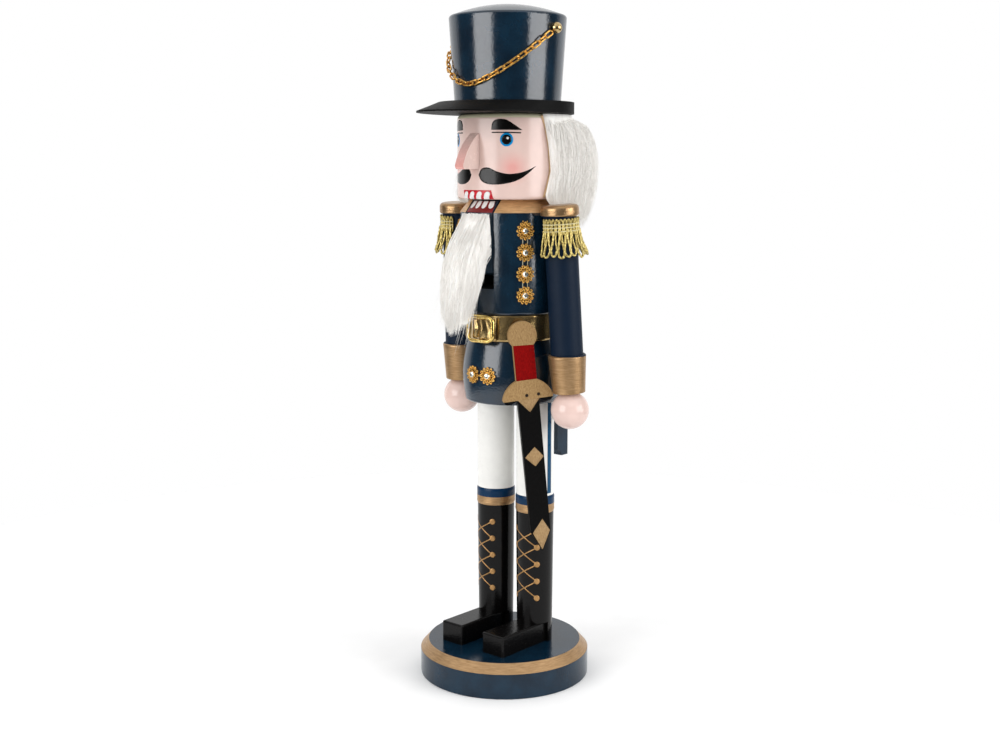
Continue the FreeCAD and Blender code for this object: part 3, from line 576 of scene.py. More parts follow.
def metal(name, color, shade, roughness, size=900):
    look = Finish(name, Metallic=1.0)
    cloud = look.noise(size, 3)
    look.bump(cloud, 0.04, 0.4)
    tone = look.mix(look.spread(cloud, 0.3, 0.7), shade, color)
    return look.done(tone, look.spread(cloud, 0.3, 0.7, roughness, roughness + 0.14))


white_paint = flat_paint("tooth_white", rgb(240, 240, 238), 0.22)
give("head", face_finish())
give("nose", nose_finish())
give("hat_chain", metal("gilt", rgb(244, 194, 104), rgb(192, 134, 58), 0.2))
give("chain_studs", metal("stud_gilt", rgb(208, 184, 134), rgb(164, 136, 90), 0.16))
give("sword_nails", metal("nail_steel", rgb(70, 62, 56), rgb(36, 30, 28), 0.4))
give("pivot_pin", metal("pin_steel", rgb(170, 170, 172), rgb(130, 130, 134), 0.25))
give("base_dowels hip_dowels neck_dowels hat_dowel arm_dowels hand_dowels",
     board_paint("dowel_birch", rgb(214, 178, 128), rgb(180, 140, 92)))

# ---- painted face ----


def on_side(sign, outline):
    """An outline for the figure's left, at +X, or mirrored for its right."""
    return outline if sign > 0 else [(-x, y) for x, y in outline][::-1]


def face_point(degrees, height):
    return (radians(degrees) * R_HEAD, height)


def face_run(*spots):
    return smooth_run([face_point(*spot) for spot in spots], 6)


JOWL_ROUND, JOWL_LEVEL = 1.8, 254.6


def head_reach(level):
    """The head's radius at a height, with its rounded lower edge."""
    below = min(max(JOWL_LEVEL - level, 0), JOWL_ROUND)
    return R_HEAD - JOWL_ROUND + sqrt(JOWL_ROUND ** 2 - below ** 2)


def on_head(reach_at):
    """Lays (across, up) on the head; reach_at gives the radius at a height."""
    def place(across, up, lift):
        reach = reach_at(up)
        return around(AXIS_HEAD, reach + lift, math.degrees(across / reach), up)
    return place


def on_face(coat=0):
    """Lays paint on the face; each coat lies a little above the one before."""
    return on_head(lambda level: head_reach(level) + COAT * coat)


features = Shape()
eye_x, eye_z = face_point(36.8, 282.5)
brow = face_run((20.3, 287.3), (21.3, 290.4), (24.6, 292.1), (30.5, 292.6), (37.4, 292.0),
                (45.3, 289.7), (53.4, 287.1))
lid = stroke([face_point(21, 286), face_point(36, 286), face_point(52, 285.8)], 0.6)
moustache = (face_run((5, 265.2), (9, 268.2), (17, 268.8), (26.6, 266.9), (38.7, 265.7),
                      (50.8, 266.3), (59.1, 267.5), (69, 269.6))[:-1]
             + face_run((69, 269.6), (60.5, 266.2), (50.8, 263.1), (40.1, 261.3), (26.6, 260.4),
                        (15.1, 260.8), (8.2, 262.5), (5, 265.2))[:-1])
for sign in (1, -1):
    for outline in (brow, lid, moustache):
        paint_layer(features, on_side(sign, outline), on_face())
    paint_layer(features, disc(3.35, sign * eye_x, eye_z), on_face(), slot=1)
    paint_layer(features, disc(2.45, sign * eye_x, eye_z), on_face(1))
    paint_layer(features, disc(0.62, sign * eye_x + 0.55, eye_z + 0.75, 20), on_face(2), slot=2)
black_paint = flat_paint("face_black", BLACK, 0.2)
blue_paint = flat_paint("eye_blue", rgb(0, 140, 206), 0.22)
features.object("face_paint", [black_paint, blue_paint, white_paint], FIGURE)

# upper teeth on the head's lower edge
teeth = Shape()
TEETH_LEFT, TEETH_RIGHT, TEETH_TOP, TEETH_LOW = -9.0, 9.6, 257.6, 253.1
lips = [(TEETH_LEFT, TEETH_TOP), (TEETH_LEFT + 0.9, TEETH_LOW), (TEETH_RIGHT + 1.1, TEETH_LOW),
        (TEETH_RIGHT, TEETH_TOP)]
paint_layer(teeth, lips[::-1], on_face())


def tooth(middle_x, low, high, width, lean=0.0):
    """A tooth's outline: straight below, round above."""
    half = width / 2
    outline = [(middle_x - half, low), (middle_x + half, low)]
    for turn in np.linspace(0, pi, 12):
        outline.append((middle_x + half * cos(turn), high - half + half * sin(turn)))
    return [(x + lean * (high - y), y) for x, y in outline]


for index in range(4):
    spot = TEETH_LEFT + (index + 0.5) * (TEETH_RIGHT - TEETH_LEFT) / 4
    paint_layer(teeth, tooth(spot + 0.5, TEETH_LOW, TEETH_TOP - 0.6, 3.05, -0.28), on_face(1), slot=1)
teeth.object("upper_teeth", [flat_paint("lip_red", rgb(196, 30, 44), 0.25), white_paint], FIGURE)


# lower teeth on the jaw's sloping front
COLLAR_TOP_RADIUS, COLLAR_RISE, JAW_HALF = 21.5, 6.7, 8.9


def on_jaw(across, up, lift):
    """The jaw's cone face, level with the collar; up runs from the collar's lower edge."""
    radius = R_CHEST + (COLLAR_TOP_RADIUS - R_CHEST) * up / COLLAR_RISE + lift
    return around(AXIS_TORSO, radius, math.degrees(across / R_CHEST), COLLAR_LOW + up)


jaw_top = box("jaw_lever")[1][2] - COLLAR_LOW
lower = Shape()
paint_layer(lower, strip(-JAW_HALF, JAW_HALF, 0.1, jaw_top - 0.05), on_jaw)
for index in range(4):
    spot = -6.9 + index * 4.6
    bite = [(x, jaw_top - 0.1 - y) for x, y in tooth(spot, 0, 3.7, 3.2)][::-1]
    paint_layer(lower, bite, lambda x, y, lift: on_jaw(x, y, lift + COAT), slot=1)
lower.object("lower_teeth", [flat_paint("mouth_red", rgb(124, 30, 30), 0.3), white_paint], JAW)

# ---- trouser stripes and boot laces ----

R_LEG = 9.9
BOOT_LOW, BOOT_RADIUS, BOOT_FLARE = 18, 9.4, 0.6
STRIPE_LOW, STRIPE_HIGH, STRIPE_HALF, STRIPE_TURN = 99.5, 147.9, 1.5, 89
LACE_HALF_TURN = 42
stripes = Shape()
laces = Shape()


def on_leg(node, lift_off=0.0):
    """Lays (across, up) on a leg, whose boot widens upwards."""
    centre_x, centre_y, _ = middle(node)

    def place(across, up, lift):
        rise = (min(up, BOOT_TOP) - BOOT_LOW) / (BOOT_TOP - BOOT_LOW)
        reach = BOOT_RADIUS + rise * BOOT_FLARE if up < BOOT_TOP else R_LEG
        spot = around(centre_y, reach + lift + lift_off, math.degrees(across / R_LEG), up)
        return spot + Vector((centre_x, 0, 0))
    return place


for node, sign, lace_turn in (("left_leg", 1, 4.5), ("right_leg", -1, -12.5)):
    side = sign * radians(STRIPE_TURN) * R_LEG
    stripe = strip(side - STRIPE_HALF, side + STRIPE_HALF, STRIPE_LOW, STRIPE_HIGH)
    paint_layer(stripes, stripe, on_leg(node))
    turn = radians(lace_turn) * R_LEG
    half = radians(LACE_HALF_TURN) * R_LEG
    rows = np.linspace(80.0, 43.0, 5)
    for row, level in enumerate(rows):
        for end in (-1, 1):
            paint_layer(laces, disc(1.6, turn + end * half, level, 20), on_leg(node, 0.03))
            if row < len(rows) - 1:
                line = [(turn + end * half * (1 - 2 * t), level - t * (level - rows[row + 1])
                         + 0.5 * sin(3 * t)) for t in np.linspace(0, 1, 8)]
                paint_layer(laces, stroke(line, 0.62), on_leg(node, 0.015 * (end + 1)))
stripes.object("trouser_stripes", [flat_paint("stripe_blue", rgb(0, 70, 106), 0.3)], FIGURE)
laces.object("boot_laces", [flat_paint("lace_gold", rgb(178, 136, 86), 0.35, 0.5)], FIGURE)

# ---- sword ----

SWORD_TURN, SWORD_LEAN, SWORD_REACH, SWORD_THICK = 54.0, 5.6, 26.15, 2.8
SWORD_LEVEL, SWORD_ASIDE = 184.8, -1.4
GUARD_LOW = -32.9  # below it the sword is its black scabbard
sword_spot = around(AXIS_TORSO, SWORD_REACH + SWORD_THICK, SWORD_TURN, SWORD_LEVEL)
sword_face = facing(SWORD_TURN, sword_spot) @ Matrix.Translation((SWORD_ASIDE, 0, 0))
sword_face = sword_face @ Matrix.Rotation(radians(SWORD_LEAN), 4, "Z")
board_gold = board_paint("board_gold", BOARD_GOLD, BOARD_SHADE)
board_red = board_paint("board_red", rgb(134, 5, 5), rgb(108, 3, 4), 0.75, 1.15)


def sword_finish():
    """Black below the guard and gold above, by the distance along the sword."""
    look = Finish("sword_board", IOR=1.16)
    up = sword_face.to_3x3() @ Vector((0, 1, 0))
    along = look.measure("DOT_PRODUCT", look.place, tuple(up))
    limit = (sword_face @ Vector((0, GUARD_LOW, 0))).dot(up) * MM
    gold = look.math("GREATER_THAN", along, limit)
    share = look.spread(board_fibre(look, 0.1), 0.36, 0.62)
    golds = look.mix(share, BOARD_SHADE, BOARD_GOLD)
    blacks = look.mix(share, rgb(4, 4, 4), rgb(10, 9, 9))
    return look.done(look.mix(gold, blacks, golds), look.mix_value(gold, 0.42, 0.62))


give("sword", sword_finish())
sword_paint = Shape()
for slot, outline in (
        (0, [(-5.38, -22.8), (5.38, -22.8), (5.38, -5.2), (-5.38, -4.6)]),
        (1, [(-5.6, -32.8), (0.2, -39.6), (5.9, -32.8)]),
        (1, [(-4.6, -63), (0.4, -68.2), (5.2, -63.4), (0.8, -58)]),
        (1, [(-4.3, -103.4), (0, -112.8), (4.9, -103), (1.4, -96.4)])):
    paint_layer(sword_paint, outline, lambda x, y, lift: sword_face @ Vector((x, y, lift)), 3, slot)
sword_paint.object("sword_paint", [board_red, board_gold], FIGURE)

# ---- fur ----

random = np.random.default_rng(35)


def fur_finish():
    """White hair, with a slight glow for the light that scatters between real hairs."""
    look = Finish("white_fur", IOR=1.4, Sheen_Weight=0.25,
                  Emission_Color=(1, 0.985, 0.965, 1), Emission_Strength=0.09)
    tone = look.spread(look.noise(420, 2, stretch=(1, 1, 0.15)), 0.35, 0.65)
    return look.done(look.mix(tone, rgb(238, 235, 230), rgb(250, 248, 244)),
                     look.spread(tone, 0, 1, 0.75, 0.6))


white_fur = fur_finish()
steps = np.linspace(0, 1, 8)[None, :]  # how far along a hair its points lie
HAIR_TIP = 0.25


def strands(name, paths, width, body):
    """One mesh of three-sided tapering hairs; paths is hairs x steps x 3 in millimetres."""
    paths = np.asarray(paths)
    hairs, count, _ = paths.shape
    along = np.gradient(paths, axis=1)
    along /= np.linalg.norm(along, axis=2, keepdims=True)
    aside = np.cross(along, random.normal(size=(hairs, 1, 3)))
    aside /= np.linalg.norm(aside, axis=2, keepdims=True)
    third = np.cross(along, aside)
    taper = width * (1 - (1 - HAIR_TIP) * steps ** 2)[:, :, None]
    taper = taper * random.uniform(0.7, 1.25, (hairs, 1, 1))
    rings = [paths + taper * (cos(a) * aside + sin(a) * third)
             for a in (0, 2 * pi / 3, 4 * pi / 3)]
    points = np.stack(rings, axis=2).reshape(-1, 3)
    one = np.array(grid_faces(count, 3, wrap=True))
    starts = np.arange(hairs) * count * 3
    faces = (one[None] + starts[:, None, None]).reshape(-1, 4)
    mesh = bpy.data.meshes.new(name)
    mesh.from_pydata((points * MM).tolist(), [], faces.tolist())
    mesh.materials.append(white_fur)
    mesh.polygons.foreach_set("use_smooth", [True] * len(faces))
    linked(name, mesh, body)


def fall(top, end, ease=1.0):
    """The heights of each hair's points."""
    return top + (end - top) * steps ** ease


def between(height, table):
    """Straight-line values of a table of (height, value) pairs, lowest first."""
    return np.interp(height, [row[0] for row in table], [row[1] for row in table])


BUNCHES, BEARD_PULL = 90, 0.35
BEARD_HALF = [(176, 6), (186, 7.6), (198, 8.7), (212, 10.4), (230, 10.4), (243, 9.2), (247, 8.6)]
BEARD_BACK = [(176, -38.6), (183, -35.8), (190, -33.2), (200, -30.6), (206, -28.8), (213, -25.8),
              (222, -23.4), (235, -22.2), (247, -21)]
BEARD_FRONT = [(176, -41.6), (190, -41), (205, -40), (220, -38), (232, -33.5), (241, -28.5), (247, -23.5)]


def beard_hairs(count, lowest, shell):
    """Hairs that fall from the jaw; shell is how far out they keep in the beard, 0 to 1."""
    each = (count, 1)
    clump = random.integers(0, BUNCHES, each)
    clump_across = random.uniform(-1, 1, BUNCHES)[clump]
    clump_depth = random.random(BUNCHES)[clump]
    clump_end = random.random(BUNCHES)[clump]
    across = np.clip(clump_across + random.normal(0, 0.28, each), -1, 1)
    depth = np.clip(clump_depth * (1 - shell) + shell + random.normal(0, 0.2, each), 0.03, 1)
    rim = np.sqrt(np.clip(1 - (2 * depth - 1) ** 2 * 0.35, 0.1, 1))
    top = random.uniform(238, 246.2, each) - 14 * random.random(each) ** 2
    end = lowest + (clump_end * 13 + random.uniform(0, 11, each)) + 4 * np.abs(across)
    end = np.minimum(end, top - 22)
    height = fall(top, end, 0.92)
    half = between(height, BEARD_HALF)
    back = between(height, BEARD_BACK)
    front = between(height, BEARD_FRONT)
    gather = 1 - 0.15 * steps ** 2 * (1 - np.abs(clump_across))
    x = across * rim * half * gather
    x += (clump_across - across) * half * BEARD_PULL * steps ** 1.5
    root = np.exp(-steps * 9)
    y = back + (front - back) * depth
    y = y * (1 - root) + (-21.3 - 1.5 * depth) * root
    phase = random.uniform(0, 2 * pi, (count, 2))
    wave = random.uniform(0.15, 0.6, each) * steps
    x += wave * np.sin(phase[:, :1] + steps * 7 + clump)
    y += wave * np.cos(phase[:, 1:] + steps * 6 + clump)
    return np.stack([x, y, height], axis=2)


def beard_core():
    """A solid tuft inside the hairs, so that no light comes through."""
    rows, columns = 26, 24
    points = []
    for height in np.linspace(box("beard")[0][2] + 12, 245.6, rows):
        half = between(height, BEARD_HALF) * 0.78
        back, front = between(height, BEARD_BACK) - 0.5, between(height, BEARD_FRONT) + 2.2
        for step in range(columns):
            angle = 2 * pi * step / columns
            ripple = 1 + 0.06 * sin(9 * angle + height * 0.3)
            points.append((half * cos(angle) * ripple,
                           (back + front) / 2 + (front - back) / 2 * sin(angle) * ripple, height))
    faces = grid_faces(rows, columns, wrap=True) + end_caps(rows, columns)
    return solid("beard_core", points, faces, white_fur, JAW)


def stray_hairs(count):
    """A few long hairs that curl away from the beard's sides and tip."""
    each = (count, 1)
    side = np.where(random.random(each) < 0.7, 1, -1)
    top = random.uniform(200, 236, each)
    end = top - random.uniform(12, 26, each)
    height = fall(top, end)
    reach = random.uniform(0.5, 5.5, each)
    x = side * (between(height, BEARD_HALF) * 0.85 + reach * steps ** 1.6)
    y = between(height, BEARD_BACK) * random.uniform(1.03, 1.35, each) - 1
    return np.stack([x, y, height], axis=2)


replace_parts(beard_core(), "beard")
strands("beard_stray_hair", stray_hairs(90), 0.06, JAW)
strands("beard_hair", beard_hairs(6500, 187, 0.15), 0.14, JAW)
strands("beard_top_hair", beard_hairs(7500, 184, 0.7), 0.1, JAW)

LOCKS = 420
HAIR_EDGE = [(238, 100), (248, 92), (254, 80), (259, 83), (267, 88), (274, 86.5), (280, 84.5),
             (289, 80), (296, 76)]
HAIR_OUT = [(236, 37), (246, 40.5), (256, 42.5), (268, 43.5), (280, 42.5), (288, 41), (293, 39), (296, 37)]


def hair_hairs(count, turn_from, turn_to, out_low, out_high, low, spill):
    """Hairs round the back of the head, from under the brim down behind the shoulders."""
    each = (count, 1)
    bunch = random.integers(0, LOCKS, each)
    bunch_turn = random.random(LOCKS)[bunch]
    share = np.clip(bunch_turn + random.normal(0, 0.02, each), 0, 1)
    turn = turn_from + (turn_to - turn_from) * share
    out = random.uniform(out_low, out_high, each)
    top = np.where(random.random(each) < 0.6, random.uniform(286, 295, each),
                   random.uniform(262, 290, each))
    end = low + random.uniform(0, 20, each) + 12 * random.random(LOCKS)[bunch]
    end = np.minimum(end, top - 18)
    height = fall(top, end)
    edge = between(height, HAIR_EDGE)
    swing = turn + spill * random.normal(0, 1, each) * steps ** 1.5
    swing += (turn_from + (turn_to - turn_from) * bunch_turn - turn) * 0.45 * steps ** 1.4
    swing = np.clip(swing, edge, 360 - edge)
    reach = between(height, HAIR_OUT)
    inside = R_HEAD + 0.3
    lift = 1 - np.exp(-steps * 14)
    radius = inside + (reach - inside) * (0.12 + 0.88 * out * lift)
    from_ear = np.minimum(np.abs(turn), 360 - np.abs(turn))
    near_edge = np.clip((from_ear - 70) / 52, 0.26, 1) ** 0.8
    radius = inside + (radius - inside) * near_edge
    wave = random.uniform(0.2, 0.9, each) * steps
    radius += wave * np.sin(random.uniform(0, 6, each) + steps * 6)
    swing += wave * 1.1 * np.sin(random.uniform(0, 6, each) + steps * 5)
    angle = np.radians(swing)
    return np.stack([radius * np.sin(angle), AXIS_HEAD - radius * np.cos(angle), height], axis=2)


def hair_core():
    """The pelt under the hairs, from one ear round the back to the other."""
    rows, columns = 24, 60
    points = []
    for layer in (0, 1):
        for height in np.linspace(241, 295.2, rows):
            edge = between(height, HAIR_EDGE)
            for step in range(columns):
                turn = edge + (360 - 2 * edge) * step / (columns - 1)
                near = sin(pi * step / (columns - 1)) ** 0.35
                reach = R_HEAD + 0.25
                if layer:
                    reach += 0.4 + (between(height, HAIR_OUT) - R_HEAD - 2.5) * 0.5 * near
                points.append(around(AXIS_HEAD, reach, turn, height))
    return solid("hair_pelt", points, slab_faces(rows, columns), white_fur, FIGURE)


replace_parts(hair_core(), "hair")
strands("hair_inner", hair_hairs(9000, 80, 280, 0.15, 0.8, 238, 2.0), 0.15, FIGURE)
strands("hair_outer", hair_hairs(9000, 82, 278, 0.6, 1.05, 236, 3.5), 0.1, FIGURE)
strands("hair_flyaway", hair_hairs(900, 92, 268, 0.95, 1.16, 237, 8.0), 0.06, FIGURE)

# the tan backing shows as a thin edge in front of the ears
BACKING_EDGE = [(79.4, 254), (83, 259), (88, 267), (87, 274), (85.5, 280), (80.7, 289), (76, 294.5)]
backing = Shape()
for sign in (1, -1):
    edge = smooth_run([face_point(sign * turn, level) for turn, level in BACKING_EDGE], 4)
    paint_layer(backing, stroke(edge, 1.3), on_head(lambda level: R_HEAD + 0.25))
backing.object("hair_backing", [flat_paint("backing_tan", rgb(214, 178, 138), 0.7)], FIGURE)

# ---- epaulette fringes ----

gimp = Finish("bullion", Metallic=0.85, Roughness=0.36)
shade = gimp.noise(1500, 2)
gimp.bump(shade, 0.08, 0.6)
bullion = gimp.done(gimp.mix(gimp.spread(shade, 0.3, 0.7), rgb(124, 104, 46), rgb(240, 220, 142)))
stitch = flat_paint("stitch_cream", rgb(222, 212, 168), 0.7)
ARM_SPLAY, ARM_SWING = radians(1.7), radians(3.25)
CAP_ASIDE, CAP_BACK, CAP_LEVEL = 34.5, 2, 250.5


def arm_frame(sign):
    """The arm's own frame: Z up the arm, Y away from the body, origin on top of the shoulder cap."""
    up = Vector((-sign * math.tan(ARM_SPLAY), -math.tan(ARM_SWING), 1)).normalized()
    out = Vector((sign, 0, 0))
    out = (out - up * out.dot(up)).normalized()
    matrix = Matrix((out.cross(up), out, up)).transposed().to_4x4()
    return Matrix.Translation((sign * CAP_ASIDE, CAP_BACK, CAP_LEVEL)) @ matrix


SWEEP, ARCHES, LOOPS, PLY = 232.0, 19, 13, 0.2
# half of a bent cord: share of its half width, distance from the arm's axis, and depth under the cap
ARCH_SIDE = [(1, 9.55, 14.6), (1, 9.15, 10.6), (1, 9.2, 8.4), (0.6, 9.35, 7.3)]
arch = [(-share, reach, down) for share, reach, down in ARCH_SIDE] + [(0, 9.4, 6.9)] + ARCH_SIDE[::-1]


def fringe(name, sign, node):
    """Upright cords bent over under the cap, three stitch lines, and twisted loops hanging all round."""
    frame_of_arm = arm_frame(sign)
    piece = Shape()
    seed = np.random.default_rng(7 + (sign > 0))

    def spot(degrees, reach, down):
        angle = radians(degrees)
        return frame_of_arm @ Vector((reach * sin(angle), reach * cos(angle), -down))

    half = SWEEP / ARCHES * 0.32
    for index in range(ARCHES):
        centre = -SWEEP / 2 + SWEEP * (index + 0.5) / ARCHES
        run = [spot(centre + share * half, reach, down) for share, reach, down in arch]
        piece.add(*tube(smooth_run(run, 5), 0.42, 8, ply=PLY, twist=3.6))
    for down, reach in ((9.4, 9.6), (11.1, 9.65), (12.8, 9.9)):
        band = [spot(-SWEEP / 2 + SWEEP * t, reach, down) for t in np.linspace(0, 1, 60)]
        piece.add(*tube(band, 0.24, 6, ply=PLY, twist=4.5), 1)
    for index in range(LOOPS):
        centre = -SWEEP / 2 + SWEEP * (index + 0.5) / LOOPS + seed.uniform(-2, 2)
        long = 25.6 + seed.uniform(-1.0, 0.9)
        flare = 12.4 + seed.uniform(-0.7, 1.1)
        width = seed.uniform(7.0, 9.6)
        lean = seed.uniform(-4, 4)
        cross = seed.uniform(-0.4, 0.5)
        loop = [(-2.0, 9.4 + cross, 12.4), (-2.2, 9.7 + cross, 14.5),
                (lean * 0.4 - width * 0.55, 10.4 + cross, 18.5),
                (lean * 0.8 - width * 0.95, flare - 0.9, long - 3.2),
                (lean - width * 0.62, flare - 0.1, long - 0.8), (lean, flare, long),
                (lean + width * 0.62, flare - 0.1, long - 0.8),
                (lean * 0.8 + width * 0.95, flare - 0.9, long - 3.2),
                (lean * 0.4 + width * 0.55, 10.6 - cross, 18.5),
                (2.2, 9.8 - cross, 14.5), (2.0, 9.5 - cross, 12.4)]
        run = [spot(centre + turn, reach, down) for turn, reach, down in loop]
        piece.add(*tube(smooth_run(run, 7), 0.54, 8, ply=PLY, twist=2.8))
    made = piece.object(name, [bullion, stitch], FIGURE)
    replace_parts(made, node)


fringe("left_bullion_fringe", 1, "left_fringe")
fringe("right_bullion_fringe", -1, "right_fringe")

# ---- filigree flowers with crystals ----

glass = Finish("crystal", Roughness=0.06, Metallic=0.9)
crystal = glass.done(glass.mix(glass.cloud(900, 1, 0.3, 0.7), rgb(220, 230, 226), rgb(252, 253, 250)))
pale_wire = flat_paint("pale_thread", rgb(216, 206, 176), 0.55)


def flower(piece, matrix):
    """Twelve open beads about a dish, twisted rope round the stone and six claws."""
    petals, claws = 12, 6
    for index in range(petals):
        turn = 2 * pi * index / petals
        at = Matrix.Translation(polar(3.62, turn, 0.75)) @ Matrix.Rotation(turn, 4, "Z")
        at = at @ Matrix.Diagonal((1.12, 0.84, 1, 1))
        piece.add(*tube(circle(0.68, 0, 12), 0.33, 6, closed=True), 0, matrix @ at)
        spoke = [polar(1.7, turn, 0.85), polar(2.4, turn, 0.7), polar(3.1, turn, 0.72)]
        piece.add(*tube(spoke, 0.2, 6), 0, matrix)
    # the dish, slot 1, is brass painted dark as the shade seen between the beads
    piece.add(*lathe([(3.5, 0.05), (3.3, 0.42), (2.2, 0.34), (1.7, 0.5), (1.3, 0.6)], 36), 1, matrix)
    rope = circle(1.95, 1.15, 48)
    piece.add(*tube(rope, 0.3, 6, closed=True, ply=0.3, twist=5.6), 0, matrix)
    for index in range(claws):
        turn = 2 * pi * (index + 0.5) / claws
        claw = [polar(1.9, turn, 0.9), polar(1.7, turn, 1.7), polar(1.25, turn, 1.95)]
        piece.add(*tube(claw, [0.26, 0.22, 0.14], 6), 0, matrix)


def stone(piece, matrix):
    """A cut stone: flat table, a row of kite faces and a girdle."""
    rims = [(0.0, 2.3), (0.85, 2.22), (1.45, 1.75), (1.68, 1.2), (1.6, 0.7)]
    sides = 8
    points = []
    for row, (radius, height) in enumerate(rims):
        for step in range(sides):
            turn = 2 * pi * (step + 0.5 * (row % 2)) / sides
            points.append(polar(radius, turn, height))
    faces = flipped(grid_faces(len(rims), sides, wrap=True))
    faces.append(tuple(range((len(rims) - 1) * sides, len(rims) * sides))[::-1])
    piece.add(points, faces, 0, matrix)


def sewn_on(name, blooms, materials, stones):
    """Puts the flowers and their stones in place of the CAD solids."""
    made = blooms.object(name + "_flowers", materials, FIGURE)
    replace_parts(made, name + "_trim")
    made = stones.object(name + "_crystals", [crystal], FIGURE, smooth=False)
    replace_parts(made, name + "_stones")


trim_brass = metal("trim_brass", rgb(250, 202, 108), rgb(200, 138, 60), 0.2, 1400)
# the dish's brass is painted dark: painted shade for the holes between the beads
shaded_dish_brass = metal("shaded_dish_brass", rgb(110, 74, 44), rgb(58, 40, 26), 0.4, 1400)
BUTTON_TURN, BUTTON_TOP, BUTTON_STEP, BUTTON_REACH = 54.5, 237.4, 10.8, 27.02
THREAD_REACH = 27.2
for side_name, sign in (("left", 1), ("right", -1)):
    blooms, stones = Shape(), Shape()
    centre = sign * BUTTON_TURN
    for index in range(4):
        level = BUTTON_TOP - BUTTON_STEP * index
        at = facing(centre, around(AXIS_TORSO, BUTTON_REACH, centre, level))
        at = at @ Matrix.Rotation(0.4 * index, 4, "Z")
        flower(blooms, at)
        stone(stones, at)
        # short gilt wires top the first flower, and pale threads join the others
        for gap in (-1.25, 1.25) if index else (-1.1, 1.1):
            turn = centre + gap * 2.1
            if index:
                high = around(AXIS_TORSO, THREAD_REACH, turn, level + 7.2)
                low = around(AXIS_TORSO, THREAD_REACH, turn, level + 3.6)
                bow = (high - Vector((0, AXIS_TORSO, high.z))) * 0.012
                blooms.add(*tube([high, (high + low) / 2 + bow, low], 0.16, 6), 2)
            else:
                low = around(AXIS_TORSO, THREAD_REACH, turn, level + 3.9)
                high = around(AXIS_TORSO, THREAD_REACH + 0.2, turn, level + 5.2)
                blooms.add(*tube([low, high], 0.22, 6))
    sewn_on(side_name + "_button", blooms, [trim_brass, shaded_dish_brass, pale_wire], stones)
blooms, stones = Shape(), Shape()
SKIRT_REACH, SKIRT_LEVEL = 26.03, 163.4
for turn in (2.3 + 10.4, 2.3 - 10.4):
    at = facing(turn, around(AXIS_TORSO, SKIRT_REACH, turn, SKIRT_LEVEL))
    flower(blooms, at)
    stone(stones, at)
sewn_on("skirt", blooms, [trim_brass, shaded_dish_brass], stones)

# ---- belt and buckle ----


def foil_finish():
    look = Finish("gold_foil", Metallic=0.92)
    fold = look.noise(70, 2, stretch=(1, 1, 0.6))
    look.bump(fold, 0.6, 0.3)
    look.bump(look.noise(1600, 3), 0.01, 0.5)
    tone = look.mix(look.cloud(220, 2, 0.35, 0.65), rgb(160, 134, 88), rgb(198, 170, 116))
    return look.done(tone, look.cloud(900, 2, 0.3, 0.7, 0.15, 0.24))


foil = foil_finish()
BELT_LOW, BELT_HIGH, BELT_MIDDLE, BELT_RADIUS = 180.9, 194.8, 187.6, 24.05


def belt_radius(turn, share):
    """The strip's middle face: close to the waist, with slack waves and edges that roll out."""
    slack = 0.32 * sin(radians(turn * 5 + 30)) + 0.18 * sin(radians(turn * 11))
    near_edge = abs(2 * share - 1)
    return BELT_RADIUS + slack * (0.4 + 0.6 * near_edge) + 0.25 * near_edge ** 3


rows, columns = 13, 240
points = []
for layer in (-0.3, 0.3):
    for row in range(rows):
        share = row / (rows - 1)
        for column in range(columns):
            turn = 360 * column / columns
            tilt = 0.55 * sin(radians(turn - 10))
            level = BELT_LOW + 0.1 + (BELT_HIGH - BELT_LOW - 0.5) * share + tilt * 0.35
            points.append(around(AXIS_TORSO, belt_radius(turn, share) + layer, turn, level))
count = rows * columns
faces = grid_faces(rows, columns, wrap=True)
belt_faces = flipped(faces) + [tuple(index + count for index in face) for face in faces]
for row in (0, rows - 1):
    for column in range(columns):
        first, second = row * columns + column, row * columns + (column + 1) % columns
        wall = (first, second, second + count, first + count)
        belt_faces.append(wall if row == 0 else tuple(reversed(wall)))
made = solid("foil_belt", points, belt_faces, foil, FIGURE)
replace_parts(made, "belt")

# the strip folds over the buckle's bar and its end comes out beside the ring
BUCKLE_X = 2.4
rows, columns = 11, 34
points = []
for layer in (0.0, 0.55):
    for row in range(rows):
        v = 2 * row / (rows - 1) - 1
        for column in range(columns):
            u = column / (columns - 1)
            x = BUCKLE_X - 12.6 + u * 20.4 + 0.5 * v * (1 - u)
            aside = x - BUCKLE_X
            pinch = 1 - 0.16 * exp(-((aside + 3) / 4.2) ** 2)
            crease = 0.75 * sin(1.1 * aside + 1.6 * abs(v)) * exp(-(aside / 6.5) ** 2)
            base = AXIS_TORSO - sqrt(max(24.9 ** 2 - x * x, 1))
            lift = 0.9 + 1.5 * exp(-(aside / 7.5) ** 2) + crease * 0.8
            points.append((x, base - lift - layer + 0.25 * v * v, BELT_MIDDLE + v * 6.1 * pinch))
made = solid("belt_fold", points, slab_faces(rows, columns), foil, FIGURE)

corner, half_wide, half_high = 3.4, 7.9, 6.3
path = []
for cx, cz, start in ((1, 1, 0), (-1, 1, 90), (-1, -1, 180), (1, -1, 270)):
    for step in np.linspace(0, 90, 9):
        a = radians(start + step)
        x = BUCKLE_X + cx * (half_wide - corner) + corner * cos(a)
        z = BELT_MIDDLE + cz * (half_high - corner) + corner * sin(a)
        y = AXIS_TORSO - sqrt(26.9 ** 2 - (x * 0.8) ** 2) - 1.5
        path.append(Vector((x, y, z)))
buckle_gilt = metal("buckle_gilt", rgb(238, 214, 138), rgb(200, 160, 80), 0.16)
made = solid("buckle_ring", *tube(path, 1.12, 12, closed=True, squash=0.72), buckle_gilt, FIGURE)
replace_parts(made, "belt_buckle")

# ---- camera, light and floor ----

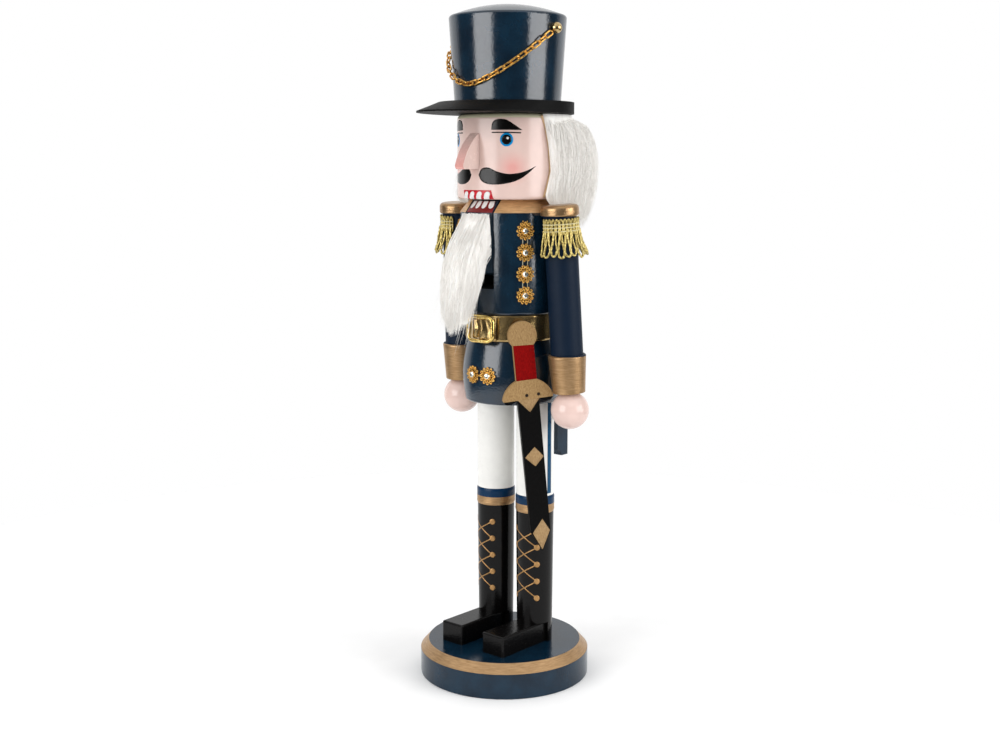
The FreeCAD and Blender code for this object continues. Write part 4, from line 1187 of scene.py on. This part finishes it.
VIEW_TURN, VIEW_DIP, VIEW_FAR, VIEW_HIGH, VIEW_SIDE = 41.0, 8.85, 700.0, 270.0, -2.3
view_turn = radians(VIEW_TURN)
camera_data = bpy.data.cameras.new("camera")
camera_data.sensor_width = 36
camera_data.lens = 48.53
camera = bpy.data.objects.new("camera", camera_data)
camera.location = Vector((VIEW_FAR * sin(view_turn) + VIEW_SIDE * cos(view_turn),
                          -VIEW_FAR * cos(view_turn) + VIEW_SIDE * sin(view_turn),
                          VIEW_HIGH)) * MM
camera.rotation_euler = (radians(90 - VIEW_DIP), 0, view_turn)
scene.collection.objects.link(camera)
bpy.context.scene.camera = camera

LAMP_HIGH, LAMP_FAR, LAMP_TALL, LAMP_AIM = 480, 1500, 950, 190
FLOOR_RADIUS = 480
BACKDROP, BACK_GLOW, DARK_GLOW, TOP_GLOW = 1.0, 1.0, 0.07, 1.05


def softbox(name, degrees, wide, power):
    """A tall soft light about the figure, at an angle from its front towards +X."""
    lamp = bpy.data.lights.new(name, "AREA")
    lamp.shape = "RECTANGLE"
    lamp.size = wide * MM
    lamp.size_y = LAMP_TALL * MM
    lamp.energy = power
    piece = bpy.data.objects.new(name, lamp)
    piece.location = around(0, LAMP_FAR, degrees, LAMP_HIGH) * MM
    aim = Vector((0, 0, LAMP_AIM)) * MM - piece.location
    piece.rotation_euler = aim.to_track_quat("-Z", "Y").to_euler()
    scene.collection.objects.link(piece)


softbox("key_left", VIEW_TURN - 50, 1080, 17)
softbox("key_right", VIEW_TURN + 62, 1120, 17.5)


def studio_world():
    """White to the camera. Reflections find it bright above and across from the camera, else dark."""
    world = bpy.data.worlds.new("studio")
    tree = Nodes(world, "Generated")

    def glow(direction, start, end, strength):
        along = tree.measure("DOT_PRODUCT", tree.place, direction)
        return tree.node("MapRange", {
            "Value": along, "From Min": start, "From Max": end, "To Min": DARK_GLOW, "To Max": strength
        }, interpolation_type="SMOOTHSTEP")

    behind = glow((-sin(view_turn), cos(view_turn), 0), 0.3, 0.62, BACK_GLOW)
    mirrored = tree.math("MAXIMUM", behind, glow((0, 0, 1), 0.35, 0.7, TOP_GLOW))
    to_camera = tree.node("LightPath", {}, "Is Camera Ray")
    light = tree.nodes["Background"].inputs
    tree.put(light["Strength"], tree.node("Mix", {0: to_camera, 2: mirrored, 3: BACKDROP}))
    light["Color"].default_value = (1, 1, 1, 1)
    return world


scene.world = studio_world()
scene.view_settings.view_transform = "Standard"

# a round white table, whose edge is lost against the backdrop
rim = [around(0, FLOOR_RADIUS, degrees, 0) for degrees in range(0, 360, 5)]
paper = Finish("floor_paper", Roughness=0.9, IOR=1.3)
tone = paper.mix(paper.cloud(40, 2, 0.3, 0.7), (0.93, 0.93, 0.93, 1), (0.96, 0.96, 0.96, 1))
floor = solid("floor", rim, [tuple(range(len(rim)))], paper.done(tone), None)
